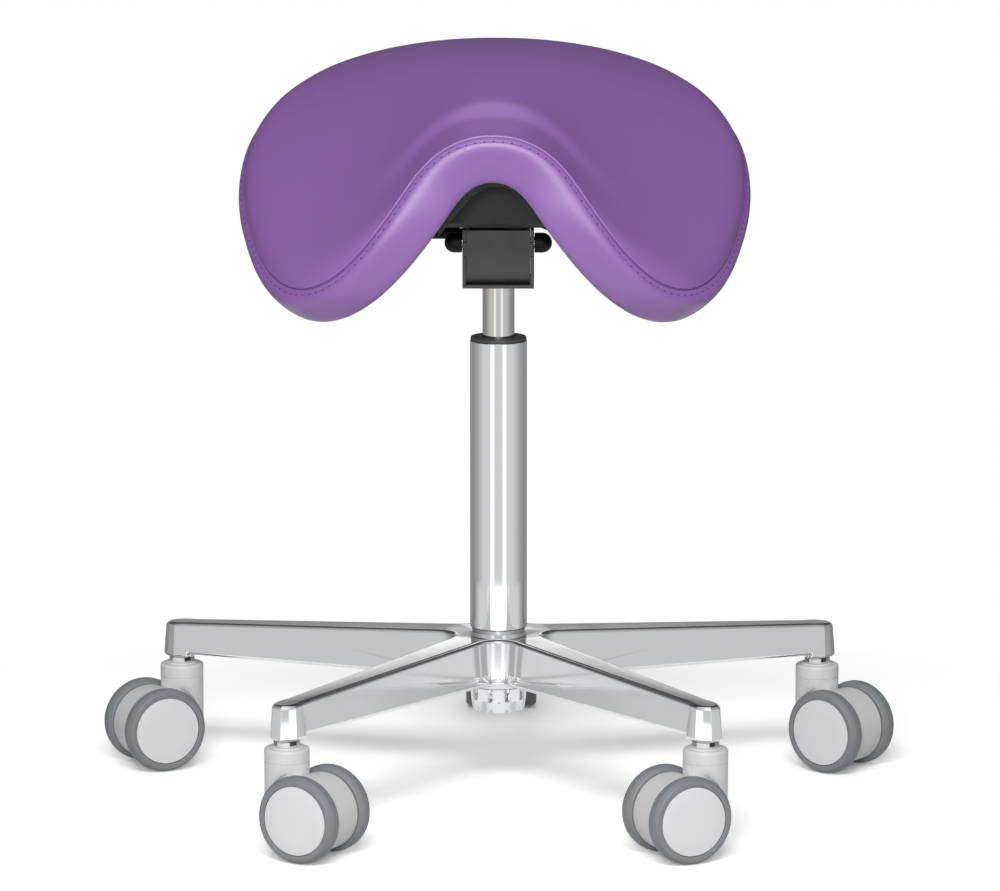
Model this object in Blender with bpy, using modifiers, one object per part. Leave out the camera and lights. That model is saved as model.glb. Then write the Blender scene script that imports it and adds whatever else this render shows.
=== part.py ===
"""Medical saddle stool: a padded saddle seat that tilts on a gas-sprung column,
over a five-arm cast base on twin-wheel castors.

Metres, +Z up. The sitter faces -Y, and +X is on the right of someone facing the sitter.
The origin is on the floor, in the middle of the space that the stool takes up.
"""

import math

import bpy
import bmesh
from mathutils import Matrix, Vector

# Fits
fit_gap = 0.0003
running_gap = 0.0004
side_gap = 0.0010
cut_overrun = 0.0040
weld_distance = 0.00001

# Facets in a full turn
column_facets = 32
rod_facets = 12
castor_facets = 24
barrel_facets = 24
arch_facets = 29
dome_facets = 16
pad_facets = 48

# Star base
arm_count = 5
stem_circle_radius = 0.3000
arm_tip_rise = 0.0065
arm_tip_depth = 0.0317
arm_top_slope_rise = 0.0113
arm_underside_slope_drop = 0.0015
arm_root_radius = 0.0450
arm_half_width_at_root = 0.0180
arm_half_width_at_tip = 0.0108
arm_draft_share = 0.075
arm_notch_radius = 0.0190
arm_notch_steps = 7
arm_edge_radius = 0.0030
arm_wall = 0.0040
arm_roof = 0.0052
arm_rib = 0.0060
arm_rib_radius = 0.1560
hub_wall = 0.0110
hub_boss_radius = 0.0280
hub_boss_drop = 0.0073
tip_reach = 0.0135
tip_face_half_width = 0.0045
tip_corner_half_width = 0.0094
tip_corner_back = 0.0048
tip_boss_half_width = 0.0122
tip_boss_back = 0.0120
tip_boss_drop = 0.0033
tip_socket_depth = 0.0235
skirt_flare = 0.0022
skirt_rise_at_hub = 0.0045
skirt_rise_at_end = 0.0247
skirt_end_radius = 0.1700

# Column
column_radius = 0.0250
column_wall = 0.0016
column_shaft_length = 0.2555
column_neck_rise = 0.0035
column_neck_step = 0.0009
column_root_radius = 0.0238
column_foot_radius = 0.0206
column_foot_drop = 0.0170
column_floor = 0.0030
collar_top_radius = 0.0246
collar_waist_radius = 0.0241
collar_waist_drop = 0.0120
collar_foot_radius = 0.0226
collar_foot_drop = 0.0048
collar_foot_rounding = 0.0022
collar_notch_count = 10
collar_notch_width = 0.0030
collar_notch_height = 0.0052
collar_notch_depth = 0.0012
bush_flange_inset = 0.0005
bush_flange_height = 0.0030
bush_flange_rounding = 0.0010
bush_length = 0.0800

# Gas spring
rod_radius = 0.0050
rod_end_below_foot = 0.0046
rod_groove_depth = 0.0012
rod_shoulder_radius = 0.0100
rod_shoulder_height = 0.0030
bearing_radius = 0.0130
bearing_height = 0.0060
buffer_radius = 0.0115
buffer_height = 0.0120
buffer_waist = 0.0015
clip_radius = 0.0090
clip_height = 0.0012
cylinder_radius = 0.0140
cylinder_wall = 0.0018
cylinder_top_drop = 0.0100
cylinder_taper_top_radius = 0.0130
cylinder_edge = 0.0008
piston_height = 0.0120
rod_guide_height = 0.0150
seat_drop = 0.0450
seat_rise = 0.0850
stop_clearance = 0.0010
valve_pin_radius = 0.0035
valve_pin_top_drop = 0.0050
valve_pin_length = 0.0210
valve_travel = 0.0030

# Tilt mechanism
box_half_width = 0.0310
box_half_length = 0.0360
box_plate = 0.0030
box_rise = 0.0508
box_height = 0.0507
box_rear_drop = 0.0050
box_slope_start = 0.0080
box_lip = 0.0012
box_tab_top_drop = 0.0104
box_tab_height = 0.0129
front_bend_radius = 0.0095
front_bend_steps = 5
socket_wall = 0.0050
socket_top_drop = 0.0085
pivot_front_inset = 0.0100
pivot_drop = 0.0120
pivot_radius = 0.0050
cap_radius = 0.0087
cap_length = 0.0155
cap_cup_depth = 0.0100
cap_dome_steps = 4
cheek_radius = 0.0064
cheek_plate = 0.0030
cheek_top_front = 0.0250
cheek_top_rear = 0.0100
bracket_plate = 0.0030
bracket_half_width = 0.0380
bracket_front = 0.0580
bracket_rear = 0.0500
bracket_corner = 0.0080
lock_ear_inner = 0.0140
lock_ear_foot_drop = 0.0032
lock_ear_half_length = 0.0050

# Levers
lever_neck_radius = 0.0040
lever_grip_radius = 0.0055
lever_grip_start = 0.0335
lever_grip_end = 0.1180
lever_drop = 0.0070
lever_tongue_half_width = 0.0040
lever_tongue_thickness = 0.0030
lever_tongue_reach = 0.0050
lever_tongue_root = 0.0290
lock_rod_radius = 0.0020
lock_rod_bend = 0.0350
lock_rod_fall_share = 0.42
lock_rod_end = 0.0860
lock_grip_radius = 0.0050
lock_grip_length = 0.0300

# Seat block
block_rise = 0.0060
block_half_width = 0.0600
block_front = 0.0880
block_rear = 0.0800
block_height = 0.0970
block_corner = 0.0120

# Saddle pad: a pad of even thickness, laid over a saddle-shaped sheet
pad_half_arc = 0.2488
pad_front_length = 0.1582
pad_rear_length = 0.1509
pad_forward_shift = 0.0206
pad_front_power = 3.16
pad_rear_power = 2.61
pad_thickness = 0.0504
pad_crown = 0.0005
pad_front_thinning = -0.0010
pad_rake_share = 0.11
ridge_front_rise = 0.0748
ridge_forward_rise = 0.1010
ridge_backward_rise = 0.1160
ridge_rear_rise = 0.1201
flap_front_angle = math.radians(59.5)
flap_middle_angle = math.radians(38.4)
flap_rear_angle = math.radians(37.5)
flap_front_run = 0.0858
flap_middle_run = 0.1571
flap_rear_run = 0.4201
flap_power = 1.06
flap_steps = 24
probe_step = 0.0010
pan_thickness = 0.0060
pan_room_above = 0.0700

# How far out a ring of the pad lies, as a share of its outline, and how high, as a share of half its thickness
pad_top_shares = [(0.25, 1.00), (0.50, 1.00), (0.72, 1.00), (0.86, 0.98), (0.94, 0.92)]
pad_side_shares = [(0.97, 0.71), (0.99, 0.46), (1.0, 0.0), (0.99, -0.73), (0.96, -0.96)]
pad_underside_shares = [(0.90, -1.0), (0.60, -1.0), (0.30, -1.0)]
pan_shares = [0.30, 0.60, 0.90]

# Castors
wheel_radius = 0.0375
wheel_width = 0.0155
wheel_offset = 0.0250
castor_trail = 0.0270
tyre_side_height = 0.0075
tyre_shoulder_height = 0.0030
tyre_shoulder_width = 0.0042
tyre_edge = 0.0008
core_inset = 0.0004
axle_radius = 0.0040
axle_end_clearance = 0.0060
housing_drum_inset = 0.0045
housing_drum_edge = 0.0012
housing_foot_height = 0.0085
barrel_radius = 0.0192
barrel_edge = 0.0010
barrel_top_rise = 0.0545
barrel_foot_drop = 0.0135
barrel_foot_rounding = 0.0050
barrel_ring_radius = 0.0142
barrel_ring_height = 0.0014
wheel_arch_clearance = 0.0020
wheel_arch_bite = 0.0002
stem_radius = 0.0055
stem_foot_rise = 0.0185
stem_hex_radius = 0.0112
stem_hex_sides = 6
stem_end_clearance = 0.0010

# Which way each castor trails, in degrees from +X towards +Y; its arm is 72 degrees from the last one's
first_arm_angle = 90.0
castor_headings = {
    "rear": 90.0,
    "side_left": -154.6,
    "front_left": -29.4,
    "front_right": -154.2,
    "side_right": -37.8,
}

# Heights, each taken from the piece that carries it, from the floor up
barrel_top_height = wheel_radius + barrel_top_rise
barrel_foot_height = wheel_radius - barrel_foot_drop
stem_foot_height = wheel_radius + stem_foot_rise
tip_boss_foot_height = barrel_top_height + arm_tip_rise
arm_underside_at_tip = tip_boss_foot_height + tip_boss_drop
arm_underside_at_hub = arm_underside_at_tip - arm_underside_slope_drop
arm_top_at_tip = tip_boss_foot_height + arm_tip_depth
arm_top_at_hub = arm_top_at_tip + arm_top_slope_rise
tip_socket_height = tip_boss_foot_height + tip_socket_depth
hub_foot_height = arm_underside_at_hub - hub_boss_drop
skirt_height_at_hub = arm_underside_at_hub + skirt_rise_at_hub
skirt_height_at_end = arm_underside_at_hub + skirt_rise_at_end
column_foot_height = hub_foot_height - column_foot_drop
column_neck_height = arm_top_at_hub + column_neck_rise
column_top_height = column_neck_height + column_shaft_length
collar_waist_height = hub_foot_height - collar_waist_drop
collar_foot_height = column_foot_height - collar_foot_drop
box_underside_height = column_top_height + box_rise
box_top_height = box_underside_height + box_height
box_rear_top_height = box_top_height - box_rear_drop
box_tab_top_height = box_top_height - box_tab_top_drop
box_tab_foot_height = box_tab_top_height - box_tab_height
socket_top_height = box_top_height - socket_top_drop
cylinder_top_height = box_top_height - cylinder_top_drop
valve_pin_top_height = box_top_height - valve_pin_top_drop
pivot_height = box_top_height - pivot_drop
lever_height = box_top_height - lever_drop
lock_rod_height = box_top_height
lock_ear_foot_height = box_top_height - lock_ear_foot_drop
block_underside_height = box_top_height + block_rise
block_top_height = block_underside_height + block_height
ridge_front_height = block_underside_height + ridge_front_rise
ridge_forward_height = block_underside_height + ridge_forward_rise
ridge_backward_height = block_underside_height + ridge_backward_rise
ridge_rear_height = block_underside_height + ridge_rear_rise

# Places and sizes taken from another size
pivot_forward = box_half_length - pivot_front_inset
housing_drum_radius = wheel_radius - housing_drum_inset
wheel_arch_radius = wheel_radius + wheel_arch_clearance


# Scene, materials and small tools

def clear_scene():
    for old in list(bpy.data.objects):
        bpy.data.objects.remove(old, do_unlink=True)


def make_collection(name):
    collection = bpy.data.collections.new(name)
    bpy.context.scene.collection.children.link(collection)
    return collection


def make_material(name, colour, roughness, metallic):
    material = bpy.data.materials.new(name)
    material.use_nodes = True
    shader = material.node_tree.nodes["Principled BSDF"]
    shader.inputs["Base Color"].default_value = (*colour, 1.0)
    shader.inputs["Roughness"].default_value = roughness
    shader.inputs["Metallic"].default_value = metallic
    return material


clear_scene()
stool = make_collection("saddle_stool")
cutters = make_collection("cutters")

polished_aluminium = make_material("polished_aluminium", (0.80, 0.81, 0.82), 0.18, 1.0)
chromed_steel = make_material("chromed_steel", (0.74, 0.75, 0.76), 0.15, 1.0)
brushed_steel = make_material("brushed_steel", (0.55, 0.55, 0.55), 0.35, 1.0)
black_steel = make_material("black_steel", (0.045, 0.045, 0.045), 0.45, 0.0)
black_plastic = make_material("black_plastic", (0.020, 0.020, 0.021), 0.40, 0.0)
castor_plastic = make_material("castor_plastic", (0.72, 0.72, 0.72), 0.45, 0.0)
tyre_rubber = make_material("tyre_rubber", (0.20, 0.21, 0.22), 0.55, 0.0)
purple_leather = make_material("purple_leather", (0.23, 0.09, 0.36), 0.42, 0.0)


def new_object(name, mesh, material, parent=None):
    """An object with its own material, or a cutter if it has none."""
    thing = bpy.data.objects.new(name, mesh)
    thing.parent = parent
    if material:
        mesh.materials.append(material)
        stool.objects.link(thing)
    else:
        cutters.objects.link(thing)
        thing.hide_render = True
        thing.display_type = "WIRE"
    return thing


def make_empty(name, place, turn=0.0, parent=None):
    empty = bpy.data.objects.new(name, None)
    empty.location = place
    empty.rotation_euler = (0.0, 0.0, turn)
    empty.parent = parent
    stool.objects.link(empty)
    return empty


def finished_mesh(name, shape):
    """The mesh of a bmesh with its faces pointing out and its round faces smooth."""
    bmesh.ops.recalc_face_normals(shape, faces=shape.faces)
    mesh = bpy.data.meshes.new(name)
    shape.to_mesh(mesh)
    shape.free()
    mesh.shade_smooth()
    mesh.set_sharp_from_angle(angle=math.radians(35.0))
    return mesh


def add_boolean(target, other, operation="DIFFERENCE"):
    step = target.modifiers.new(operation.lower(), "BOOLEAN")
    step.operation = operation
    step.object = other
    step.solver = "EXACT"


def add_bevel(target, width, segments=2, angle=40.0):
    step = target.modifiers.new("edges", "BEVEL")
    step.width = width
    step.segments = segments
    step.limit_method = "ANGLE"
    step.angle_limit = math.radians(angle)


def turned(name, profile, facets, material, parent=None, flat_first=False):
    """A profile of (radius, height) points, listed down its outer side, turned about Z."""
    phase = math.pi / facets if flat_first else 0.0
    shape = bmesh.new()
    corners = [
        shape.verts.new((radius * math.cos(phase), radius * math.sin(phase), height))
        for radius, height in profile
    ]
    for upper, lower in zip(corners, corners[1:]):
        shape.edges.new((upper, lower))
    hollow = profile[0][0] > 0.0
    if hollow:
        shape.edges.new((corners[-1], corners[0]))
    mesh = bpy.data.meshes.new(name)
    shape.to_mesh(mesh)
    shape.free()
    thing = new_object(name, mesh, material, parent)
    screw = thing.modifiers.new("turn", "SCREW")
    screw.axis = "Z"
    screw.angle = math.tau
    screw.steps = facets
    screw.render_steps = facets
    screw.use_merge_vertices = True
    screw.merge_threshold = weld_distance
    screw.use_smooth_shade = True
    return thing


def lay_along_x(thing):
    """Turns a piece made along Z so that its top points to +X."""
    thing.rotation_euler = (0.0, math.pi / 2, 0.0)


def plate(name, outline, thickness, material, parent=None):
    """A flat outline in X and Y, with its thickness centred on Z, as a closed mesh."""
    curve = bpy.data.curves.new(name, "CURVE")
    curve.dimensions = "2D"
    curve.fill_mode = "BOTH"
    curve.extrude = thickness / 2
    spline = curve.splines.new("POLY")
    spline.points.add(len(outline) - 1)
    for point, (x, y) in zip(spline.points, outline):
        point.co = (x, y, 0.0, 1.0)
    spline.use_cyclic_u = True
    guide = bpy.data.objects.new(name + "_outline", curve)
    cutters.objects.link(guide)
    evaluated = guide.evaluated_get(bpy.context.evaluated_depsgraph_get())
    flat = bpy.data.meshes.new_from_object(evaluated)
    bpy.data.objects.remove(guide, do_unlink=True)
    flat.name = name
    flat.materials.clear()
    shape = bmesh.new()
    shape.from_mesh(flat)
    bmesh.ops.remove_doubles(shape, verts=shape.verts, dist=weld_distance)
    bmesh.ops.recalc_face_normals(shape, faces=shape.faces)
    shape.to_mesh(flat)
    shape.free()
    return new_object(name, flat, material, parent)


def stand_across(thing):
    """Turns a plate so that its outline's X and Y become the stool's Y and Z."""
    thing.rotation_euler = (math.pi / 2, 0.0, math.pi / 2)


def stand_facing(thing):
    """Turns a plate so that its outline's Y becomes the stool's Z."""
    thing.rotation_euler = (math.pi / 2, 0.0, 0.0)


def box_cutter(name, low, high, parent=None, material=None):
    shape = bmesh.new()
    middle = (Vector(low) + Vector(high)) / 2
    size = Vector(high) - Vector(low)
    bmesh.ops.create_cube(shape, size=1.0, matrix=Matrix.Translation(middle) @ Matrix.Diagonal((*size, 1.0)))
    return new_object(name, finished_mesh(name, shape), material, parent)


def rod_cutter(name, radius, low, high, facets, parent=None, material=None):
    """A plain cylinder between two heights."""
    return turned(name, [(0.0, high), (radius, high), (radius, low), (0.0, low)], facets, material, parent)


def lofted(name, rings, material, parent=None):
    """A closed solid through rings of the same number of points."""
    shape = bmesh.new()
    rows = [[shape.verts.new(point) for point in ring] for ring in rings]
    count = len(rows[0])
    for lower, upper in zip(rows, rows[1:]):
        for index in range(count):
            after = (index + 1) % count
            shape.faces.new((lower[index], lower[after], upper[after], upper[index]))
    shape.faces.new(list(reversed(rows[0])))
    shape.faces.new(rows[-1])
    bmesh.ops.triangulate(shape, faces=[face for face in shape.faces if len(face.verts) == 4])
    return new_object(name, finished_mesh(name, shape), material, parent)


def chamfered_rectangle(low_x, high_x, low_y, high_y, corner):
    return [
        (low_x + corner, low_y), (high_x - corner, low_y),
        (high_x, low_y + corner), (high_x, high_y - corner),
        (high_x - corner, high_y), (low_x + corner, high_y),
        (low_x, high_y - corner), (low_x, low_y + corner),
    ]


# Where the column stands: the origin is halfway between the frontmost and rearmost wheels

def castor_reach(arm_angle, heading, way):
    """How far the castor at one arm reaches along Y, forwards (-1) or backwards (1)."""
    stem = stem_circle_radius * math.sin(arm_angle)
    axle = castor_trail * math.sin(heading)
    wheels = (wheel_offset + wheel_width / 2) * abs(math.cos(heading)) + wheel_radius * abs(math.sin(heading))
    return stem + axle + way * wheels


def castor_arms():
    """Each castor's name, the angle of its arm and its heading, in radians."""
    step = math.tau / arm_count
    for index, (name, heading) in enumerate(castor_headings.items()):
        yield name, math.radians(first_arm_angle) + index * step, math.radians(heading)


rear_reach = max(castor_reach(arm, heading, 1) for name, arm, heading in castor_arms())
front_reach = min(castor_reach(arm, heading, -1) for name, arm, heading in castor_arms())
column_y = -(rear_reach + front_reach) / 2

column_axis = make_empty("column_axis", (0.0, column_y, 0.0))
seat_tilt_axis = make_empty("seat_tilt_axis", (0.0, column_y - pivot_forward, pivot_height))


# Star base

arm_half_angle = math.pi / arm_count
arm_taper_share = (arm_half_width_at_root - arm_half_width_at_tip) / (stem_circle_radius - arm_root_radius)


def arm_lean(height):
    """How much wider than at its middle height an arm is, each side, at one height."""
    return arm_draft_share * ((arm_top_at_hub + arm_underside_at_hub) / 2 - height)


def arm_half_width(radius, height):
    return arm_half_width_at_root - arm_taper_share * (radius - arm_root_radius) + arm_lean(height)


def arm_top(radius):
    share = (radius - arm_root_radius) / (stem_circle_radius - arm_root_radius)
    return arm_top_at_hub + share * (arm_top_at_tip - arm_top_at_hub)


def arm_underside(radius):
    share = (radius - arm_root_radius) / (stem_circle_radius - arm_root_radius)
    return arm_underside_at_hub + share * (arm_underside_at_tip - arm_underside_at_hub)


def polar_point(angle, along, across, height):
    """A point given along an arm and across it, to its left."""
    return (
        along * math.cos(angle) - across * math.sin(angle),
        along * math.sin(angle) + across * math.cos(angle),
        height,
    )


def star_plan():
    """Plan of the base at half its height, anticlockwise, with rounded notches between its arms."""
    run = math.hypot(1.0, arm_taper_share)
    width_on_axis = arm_half_width_at_root + arm_taper_share * arm_root_radius
    notch_centre = (arm_notch_radius * run + width_on_axis) / (
        math.sin(arm_half_angle) + arm_taper_share * math.cos(arm_half_angle))
    side_angle = math.pi / 2 + math.atan(arm_taper_share)
    sweep = math.tau * (arm_count - 1) / arm_count - 2 * side_angle
    boss_front = stem_circle_radius + tip_reach
    middle = (arm_top_at_hub + arm_underside_at_hub) / 2
    tip = [(radius, arm_half_width(radius, middle)) for radius in (skirt_end_radius, stem_circle_radius - tip_boss_back)]
    tip += [
        (stem_circle_radius - tip_boss_back / 2, tip_boss_half_width),
        (stem_circle_radius + tip_corner_back / 2, tip_boss_half_width),
        (boss_front - tip_corner_back, tip_corner_half_width),
        (boss_front, tip_face_half_width),
    ]
    plan = []
    for index in range(arm_count):
        angle = math.radians(first_arm_angle) + index * 2 * arm_half_angle
        for along, across in tip:
            plan.append(Vector(polar_point(angle, along, -across, 0.0)))
        for along, across in reversed(tip):
            plan.append(Vector(polar_point(angle, along, across, 0.0)))
        bisector = angle + arm_half_angle
        for step in range(arm_notch_steps + 1):
            turn = angle - side_angle - sweep * step / arm_notch_steps
            plan.append(Vector((
                notch_centre * math.cos(bisector) + arm_notch_radius * math.cos(turn),
                notch_centre * math.sin(bisector) + arm_notch_radius * math.sin(turn),
                0.0,
            )))
    return plan


def outward_steps(plan):
    """For each point of a plan, the step that moves both its edges outwards by one unit."""
    steps = []
    for index, point in enumerate(plan):
        before = (point - plan[index - 1]).normalized()
        after = (plan[(index + 1) % len(plan)] - point).normalized()
        first = Vector((before.y, -before.x, 0.0))
        second = Vector((after.y, -after.x, 0.0))
        steps.append((first + second) / (1 + first.dot(second)))
    return steps


def skirt_share(radius):
    """How far a point lies from the skirt's outer end back to the hub, as a share."""
    share = (skirt_end_radius - radius) / (skirt_end_radius - arm_root_radius)
    return max(0.0, min(1.0, share))


def star_ring(plan, steps, height_at, flare):
    ring = []
    for point, step in zip(plan, steps):
        height = height_at(point.length)
        offset = arm_lean(height) + flare * skirt_share(point.length)
        ring.append((point.x + step.x * offset, point.y + step.y * offset, height))
    return ring


def skirt_height(radius):
    return skirt_height_at_end - (skirt_height_at_end - skirt_height_at_hub) * skirt_share(radius)


def pocket_ring(angle, start, end, height, side_height, corner):
    """Plan of one hollow under an arm, kept one wall inside the arm's sides."""
    start_half = arm_half_width(start, side_height) - arm_wall
    end_half = arm_half_width(end, side_height) - arm_wall
    plan = [
        (start + corner, -start_half), (end - corner, -end_half),
        (end, corner - end_half), (end, end_half - corner),
        (end - corner, end_half), (start + corner, start_half),
        (start, start_half - corner), (start, corner - start_half),
    ]
    ring = []
    for along, across in plan:
        level = height if height < arm_underside_at_hub else arm_top(along) - arm_roof
        ring.append(polar_point(angle, along, across, level))
    return ring


def star_base():
    """A cast star: the drafted plan, trimmed to sloping tops and undersides, with hollow arms."""
    low = arm_underside_at_hub - cut_overrun
    high = arm_top_at_hub + cut_overrun
    plan = star_plan()
    steps = outward_steps(plan)
    rings = [
        star_ring(plan, steps, lambda radius: low, skirt_flare),
        star_ring(plan, steps, skirt_height, 0.0),
        star_ring(plan, steps, lambda radius: high, 0.0),
    ]
    base = lofted("star_base", rings, polished_aluminium, column_axis)

    # Five flat faces above and below, one square to each arm
    corner = 1 / math.cos(arm_half_angle)
    end = stem_circle_radius + tip_reach + cut_overrun
    boss_start = stem_circle_radius - tip_boss_back
    envelope = turned("arm_slopes", [
        (0.0, arm_top_at_hub),
        (arm_root_radius * corner, arm_top_at_hub),
        (end * corner, arm_top(end)),
        (end * corner, tip_boss_foot_height),
        (boss_start * corner, tip_boss_foot_height),
        (boss_start * corner, arm_underside(boss_start)),
        (arm_root_radius * corner, arm_underside_at_hub),
        (0.0, arm_underside_at_hub),
    ], arm_count, None, column_axis, flat_first=True)
    envelope.rotation_euler = (0.0, 0.0, math.radians(first_arm_angle))
    add_boolean(base, envelope, "INTERSECT")

    # The hub's boss; then flat faces are made whole, so that every edge takes its full rounding
    boss_top = arm_underside_at_hub + arm_edge_radius
    hub_boss = rod_cutter("hub_boss", hub_boss_radius, hub_foot_height, boss_top, column_facets, column_axis)
    add_boolean(base, hub_boss, "UNION")
    whole_faces = base.modifiers.new("whole_faces", "DECIMATE")
    whole_faces.decimate_type = "DISSOLVE"
    whole_faces.angle_limit = math.radians(0.5)
    add_bevel(base, arm_edge_radius, angle=60.0)
    base.modifiers["edges"].use_clamp_overlap = False
    weld = base.modifiers.new("weld", "WELD")
    weld.merge_threshold = weld_distance

    # The hub's tapered seat for the column
    seat_top = arm_top_at_hub + cut_overrun
    seat_foot = hub_foot_height - cut_overrun
    hub_seat = turned("hub_seat", [
        (0.0, seat_top),
        (column_taper_radius(seat_top) + fit_gap, seat_top),
        (column_taper_radius(seat_foot) + fit_gap, seat_foot),
        (0.0, seat_foot),
    ], column_facets, None, column_axis)
    add_boolean(base, hub_seat)

    # Hollows and stem sockets, one set to each arm
    pocket_foot = arm_underside_at_hub - cut_overrun
    hub_end = column_root_radius + hub_wall
    boss_end = stem_circle_radius - tip_boss_half_width - arm_wall
    spans = [(hub_end, arm_rib_radius - arm_rib / 2), (arm_rib_radius + arm_rib / 2, boss_end)]
    for index in range(arm_count):
        angle = math.radians(first_arm_angle) + index * 2 * arm_half_angle
        for number, (start, stop) in enumerate(spans):
            rings = [
                pocket_ring(angle, start, stop, pocket_foot, arm_underside_at_hub, arm_wall),
                pocket_ring(angle, start + arm_edge_radius, stop - arm_edge_radius, seat_top,
                            arm_top_at_hub, arm_wall),
            ]
            pocket = lofted(f"pocket_{index}_{number}", rings, None, column_axis)
            add_boolean(base, pocket)
        socket = rod_cutter(f"stem_socket_{index}", stem_radius + fit_gap, seat_foot, tip_socket_height,
                            rod_facets, column_axis)
        socket.location = polar_point(angle, stem_circle_radius, 0.0, 0.0)
        add_boolean(base, socket)


# Column

def column_taper_radius(height):
    """Radius of the column's tapered lower end."""
    share = (height - column_foot_height) / (arm_top_at_hub - column_foot_height)
    return column_foot_radius + share * (column_root_radius - column_foot_radius)


def column_tube():
    neck_radius = column_taper_radius(column_neck_height)
    shoulder = column_radius - neck_radius
    foot_inner = column_foot_radius - column_wall
    bore = rod_radius + fit_gap
    turned("column_tube", [
        (column_radius, column_top_height),
        (column_radius, column_neck_height + column_neck_step),
        (neck_radius, column_neck_height),
        (column_foot_radius, column_foot_height),
        (bore, column_foot_height),
        (bore, column_foot_height + column_floor),
        (foot_inner, column_foot_height + column_floor),
        (neck_radius - column_wall, column_neck_height),
        (column_radius - column_wall, column_neck_height + column_neck_step + shoulder),
        (column_radius - column_wall, column_top_height),
    ], column_facets, chromed_steel, column_axis)


def hub_collar():
    top = hub_foot_height - fit_gap
    bore_top = column_taper_radius(top) + fit_gap
    bore_foot = column_taper_radius(column_foot_height) + fit_gap
    collar = turned("hub_collar", [
        (collar_top_radius, top),
        (collar_waist_radius, collar_waist_height),
        (collar_foot_radius, collar_foot_height + collar_foot_rounding),
        (collar_foot_radius - collar_foot_rounding / 2, collar_foot_height),
        (bore_foot, collar_foot_height),
        (bore_foot, column_foot_height),
        (bore_top, top),
    ], column_facets, polished_aluminium, column_axis)
    shape = bmesh.new()
    for index in range(collar_notch_count):
        turn = Matrix.Rotation(index * math.tau / collar_notch_count, 4, "Z")
        place = Matrix.Translation((collar_top_radius, 0.0, top))
        size = Matrix.Diagonal((2 * collar_notch_depth, collar_notch_width, 2 * collar_notch_height, 1.0))
        bmesh.ops.create_cube(shape, size=1.0, matrix=turn @ place @ size)
    add_boolean(collar, new_object("collar_notches", finished_mesh("collar_notches", shape), None, column_axis))


def guide_bush():
    flange_radius = column_radius - bush_flange_inset
    flange_foot = column_top_height + fit_gap
    flange_top = flange_foot + bush_flange_height
    sleeve_radius = column_radius - column_wall - fit_gap
    bore = cylinder_radius + running_gap
    turned("guide_bush", [
        (flange_radius - bush_flange_rounding, flange_top),
        (flange_radius, flange_top - bush_flange_rounding),
        (flange_radius, flange_foot),
        (sleeve_radius, flange_foot),
        (sleeve_radius, column_top_height - bush_length),
        (bore, column_top_height - bush_length),
        (bore, flange_top),
    ], column_facets, black_plastic, column_axis)


# Gas spring: heights stacked from the column's floor upwards

bearing_foot = column_foot_height + column_floor + fit_gap
shoulder_foot = bearing_foot + bearing_height + fit_gap
shoulder_top = shoulder_foot + rod_shoulder_height
buffer_foot = shoulder_top + fit_gap
cylinder_foot = buffer_foot + buffer_height + seat_drop + stop_clearance
rod_guide_top = cylinder_foot + rod_guide_height
piston_foot = rod_guide_top + seat_rise + stop_clearance
piston_top = piston_foot + piston_height
cylinder_bore_top = piston_top + seat_drop + stop_clearance
cylinder_bore_radius = cylinder_radius - cylinder_wall


def thrust_bearing():
    bore = rod_radius + running_gap
    turned("thrust_bearing", [
        (bearing_radius, bearing_foot + bearing_height),
        (bearing_radius, bearing_foot),
        (bore, bearing_foot),
        (bore, bearing_foot + bearing_height),
    ], rod_facets, brushed_steel, column_axis)


def piston_rod():
    piston_radius = cylinder_bore_radius - fit_gap
    rod_foot = column_foot_height - rod_end_below_foot
    groove_radius = rod_radius - rod_groove_depth
    groove_top = column_foot_height - fit_gap
    groove_foot = groove_top - clip_height - 2 * fit_gap
    turned("piston_rod", [
        (0.0, piston_top),
        (piston_radius, piston_top),
        (piston_radius, piston_foot),
        (rod_radius, piston_foot),
        (rod_radius, shoulder_top),
        (rod_shoulder_radius, shoulder_top),
        (rod_shoulder_radius, shoulder_foot),
        (rod_radius, shoulder_foot),
        (rod_radius, groove_top),
        (groove_radius, groove_top),
        (groove_radius, groove_foot),
        (rod_radius, groove_foot),
        (rod_radius, rod_foot),
        (0.0, rod_foot),
    ], rod_facets, chromed_steel, column_axis)


def retaining_clip():
    bore = rod_radius - rod_groove_depth + fit_gap
    top = column_foot_height - 2 * fit_gap
    turned("retaining_clip", [
        (clip_radius, top),
        (clip_radius, top - clip_height),
        (bore, top - clip_height),
        (bore, top),
    ], rod_facets, brushed_steel, column_axis)


def buffer_ring():
    bore = rod_radius + running_gap
    turned("buffer_ring", [
        (buffer_radius, buffer_foot + buffer_height),
        (buffer_radius - buffer_waist, buffer_foot + buffer_height / 2),
        (buffer_radius, buffer_foot),
        (bore, buffer_foot),
        (bore, buffer_foot + buffer_height),
    ], rod_facets, black_plastic, column_axis)


def rod_guide():
    bore = rod_radius + running_gap
    outer = cylinder_bore_radius - fit_gap
    turned("rod_guide", [
        (outer, rod_guide_top),
        (outer, cylinder_foot),
        (bore, cylinder_foot),
        (bore, rod_guide_top),
    ], rod_facets, black_plastic, column_axis)


def gas_cylinder():
    taper_start = box_underside_height
    pin_bore = valve_pin_radius + fit_gap
    pin_bore_foot = valve_pin_top_height - valve_pin_length - valve_travel - fit_gap
    cylinder = turned("gas_cylinder", [
        (0.0, cylinder_top_height),
        (cylinder_taper_top_radius, cylinder_top_height),
        (cylinder_radius, taper_start),
        (cylinder_radius, cylinder_foot + cylinder_edge),
        (cylinder_radius - cylinder_edge, cylinder_foot),
        (cylinder_bore_radius, cylinder_foot),
        (cylinder_bore_radius, cylinder_bore_top),
        (0.0, cylinder_bore_top),
    ], column_facets, chromed_steel, column_axis)
    bore = rod_cutter("valve_bore", pin_bore, pin_bore_foot, cylinder_top_height + cut_overrun, rod_facets, column_axis)
    add_boolean(cylinder, bore)


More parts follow.
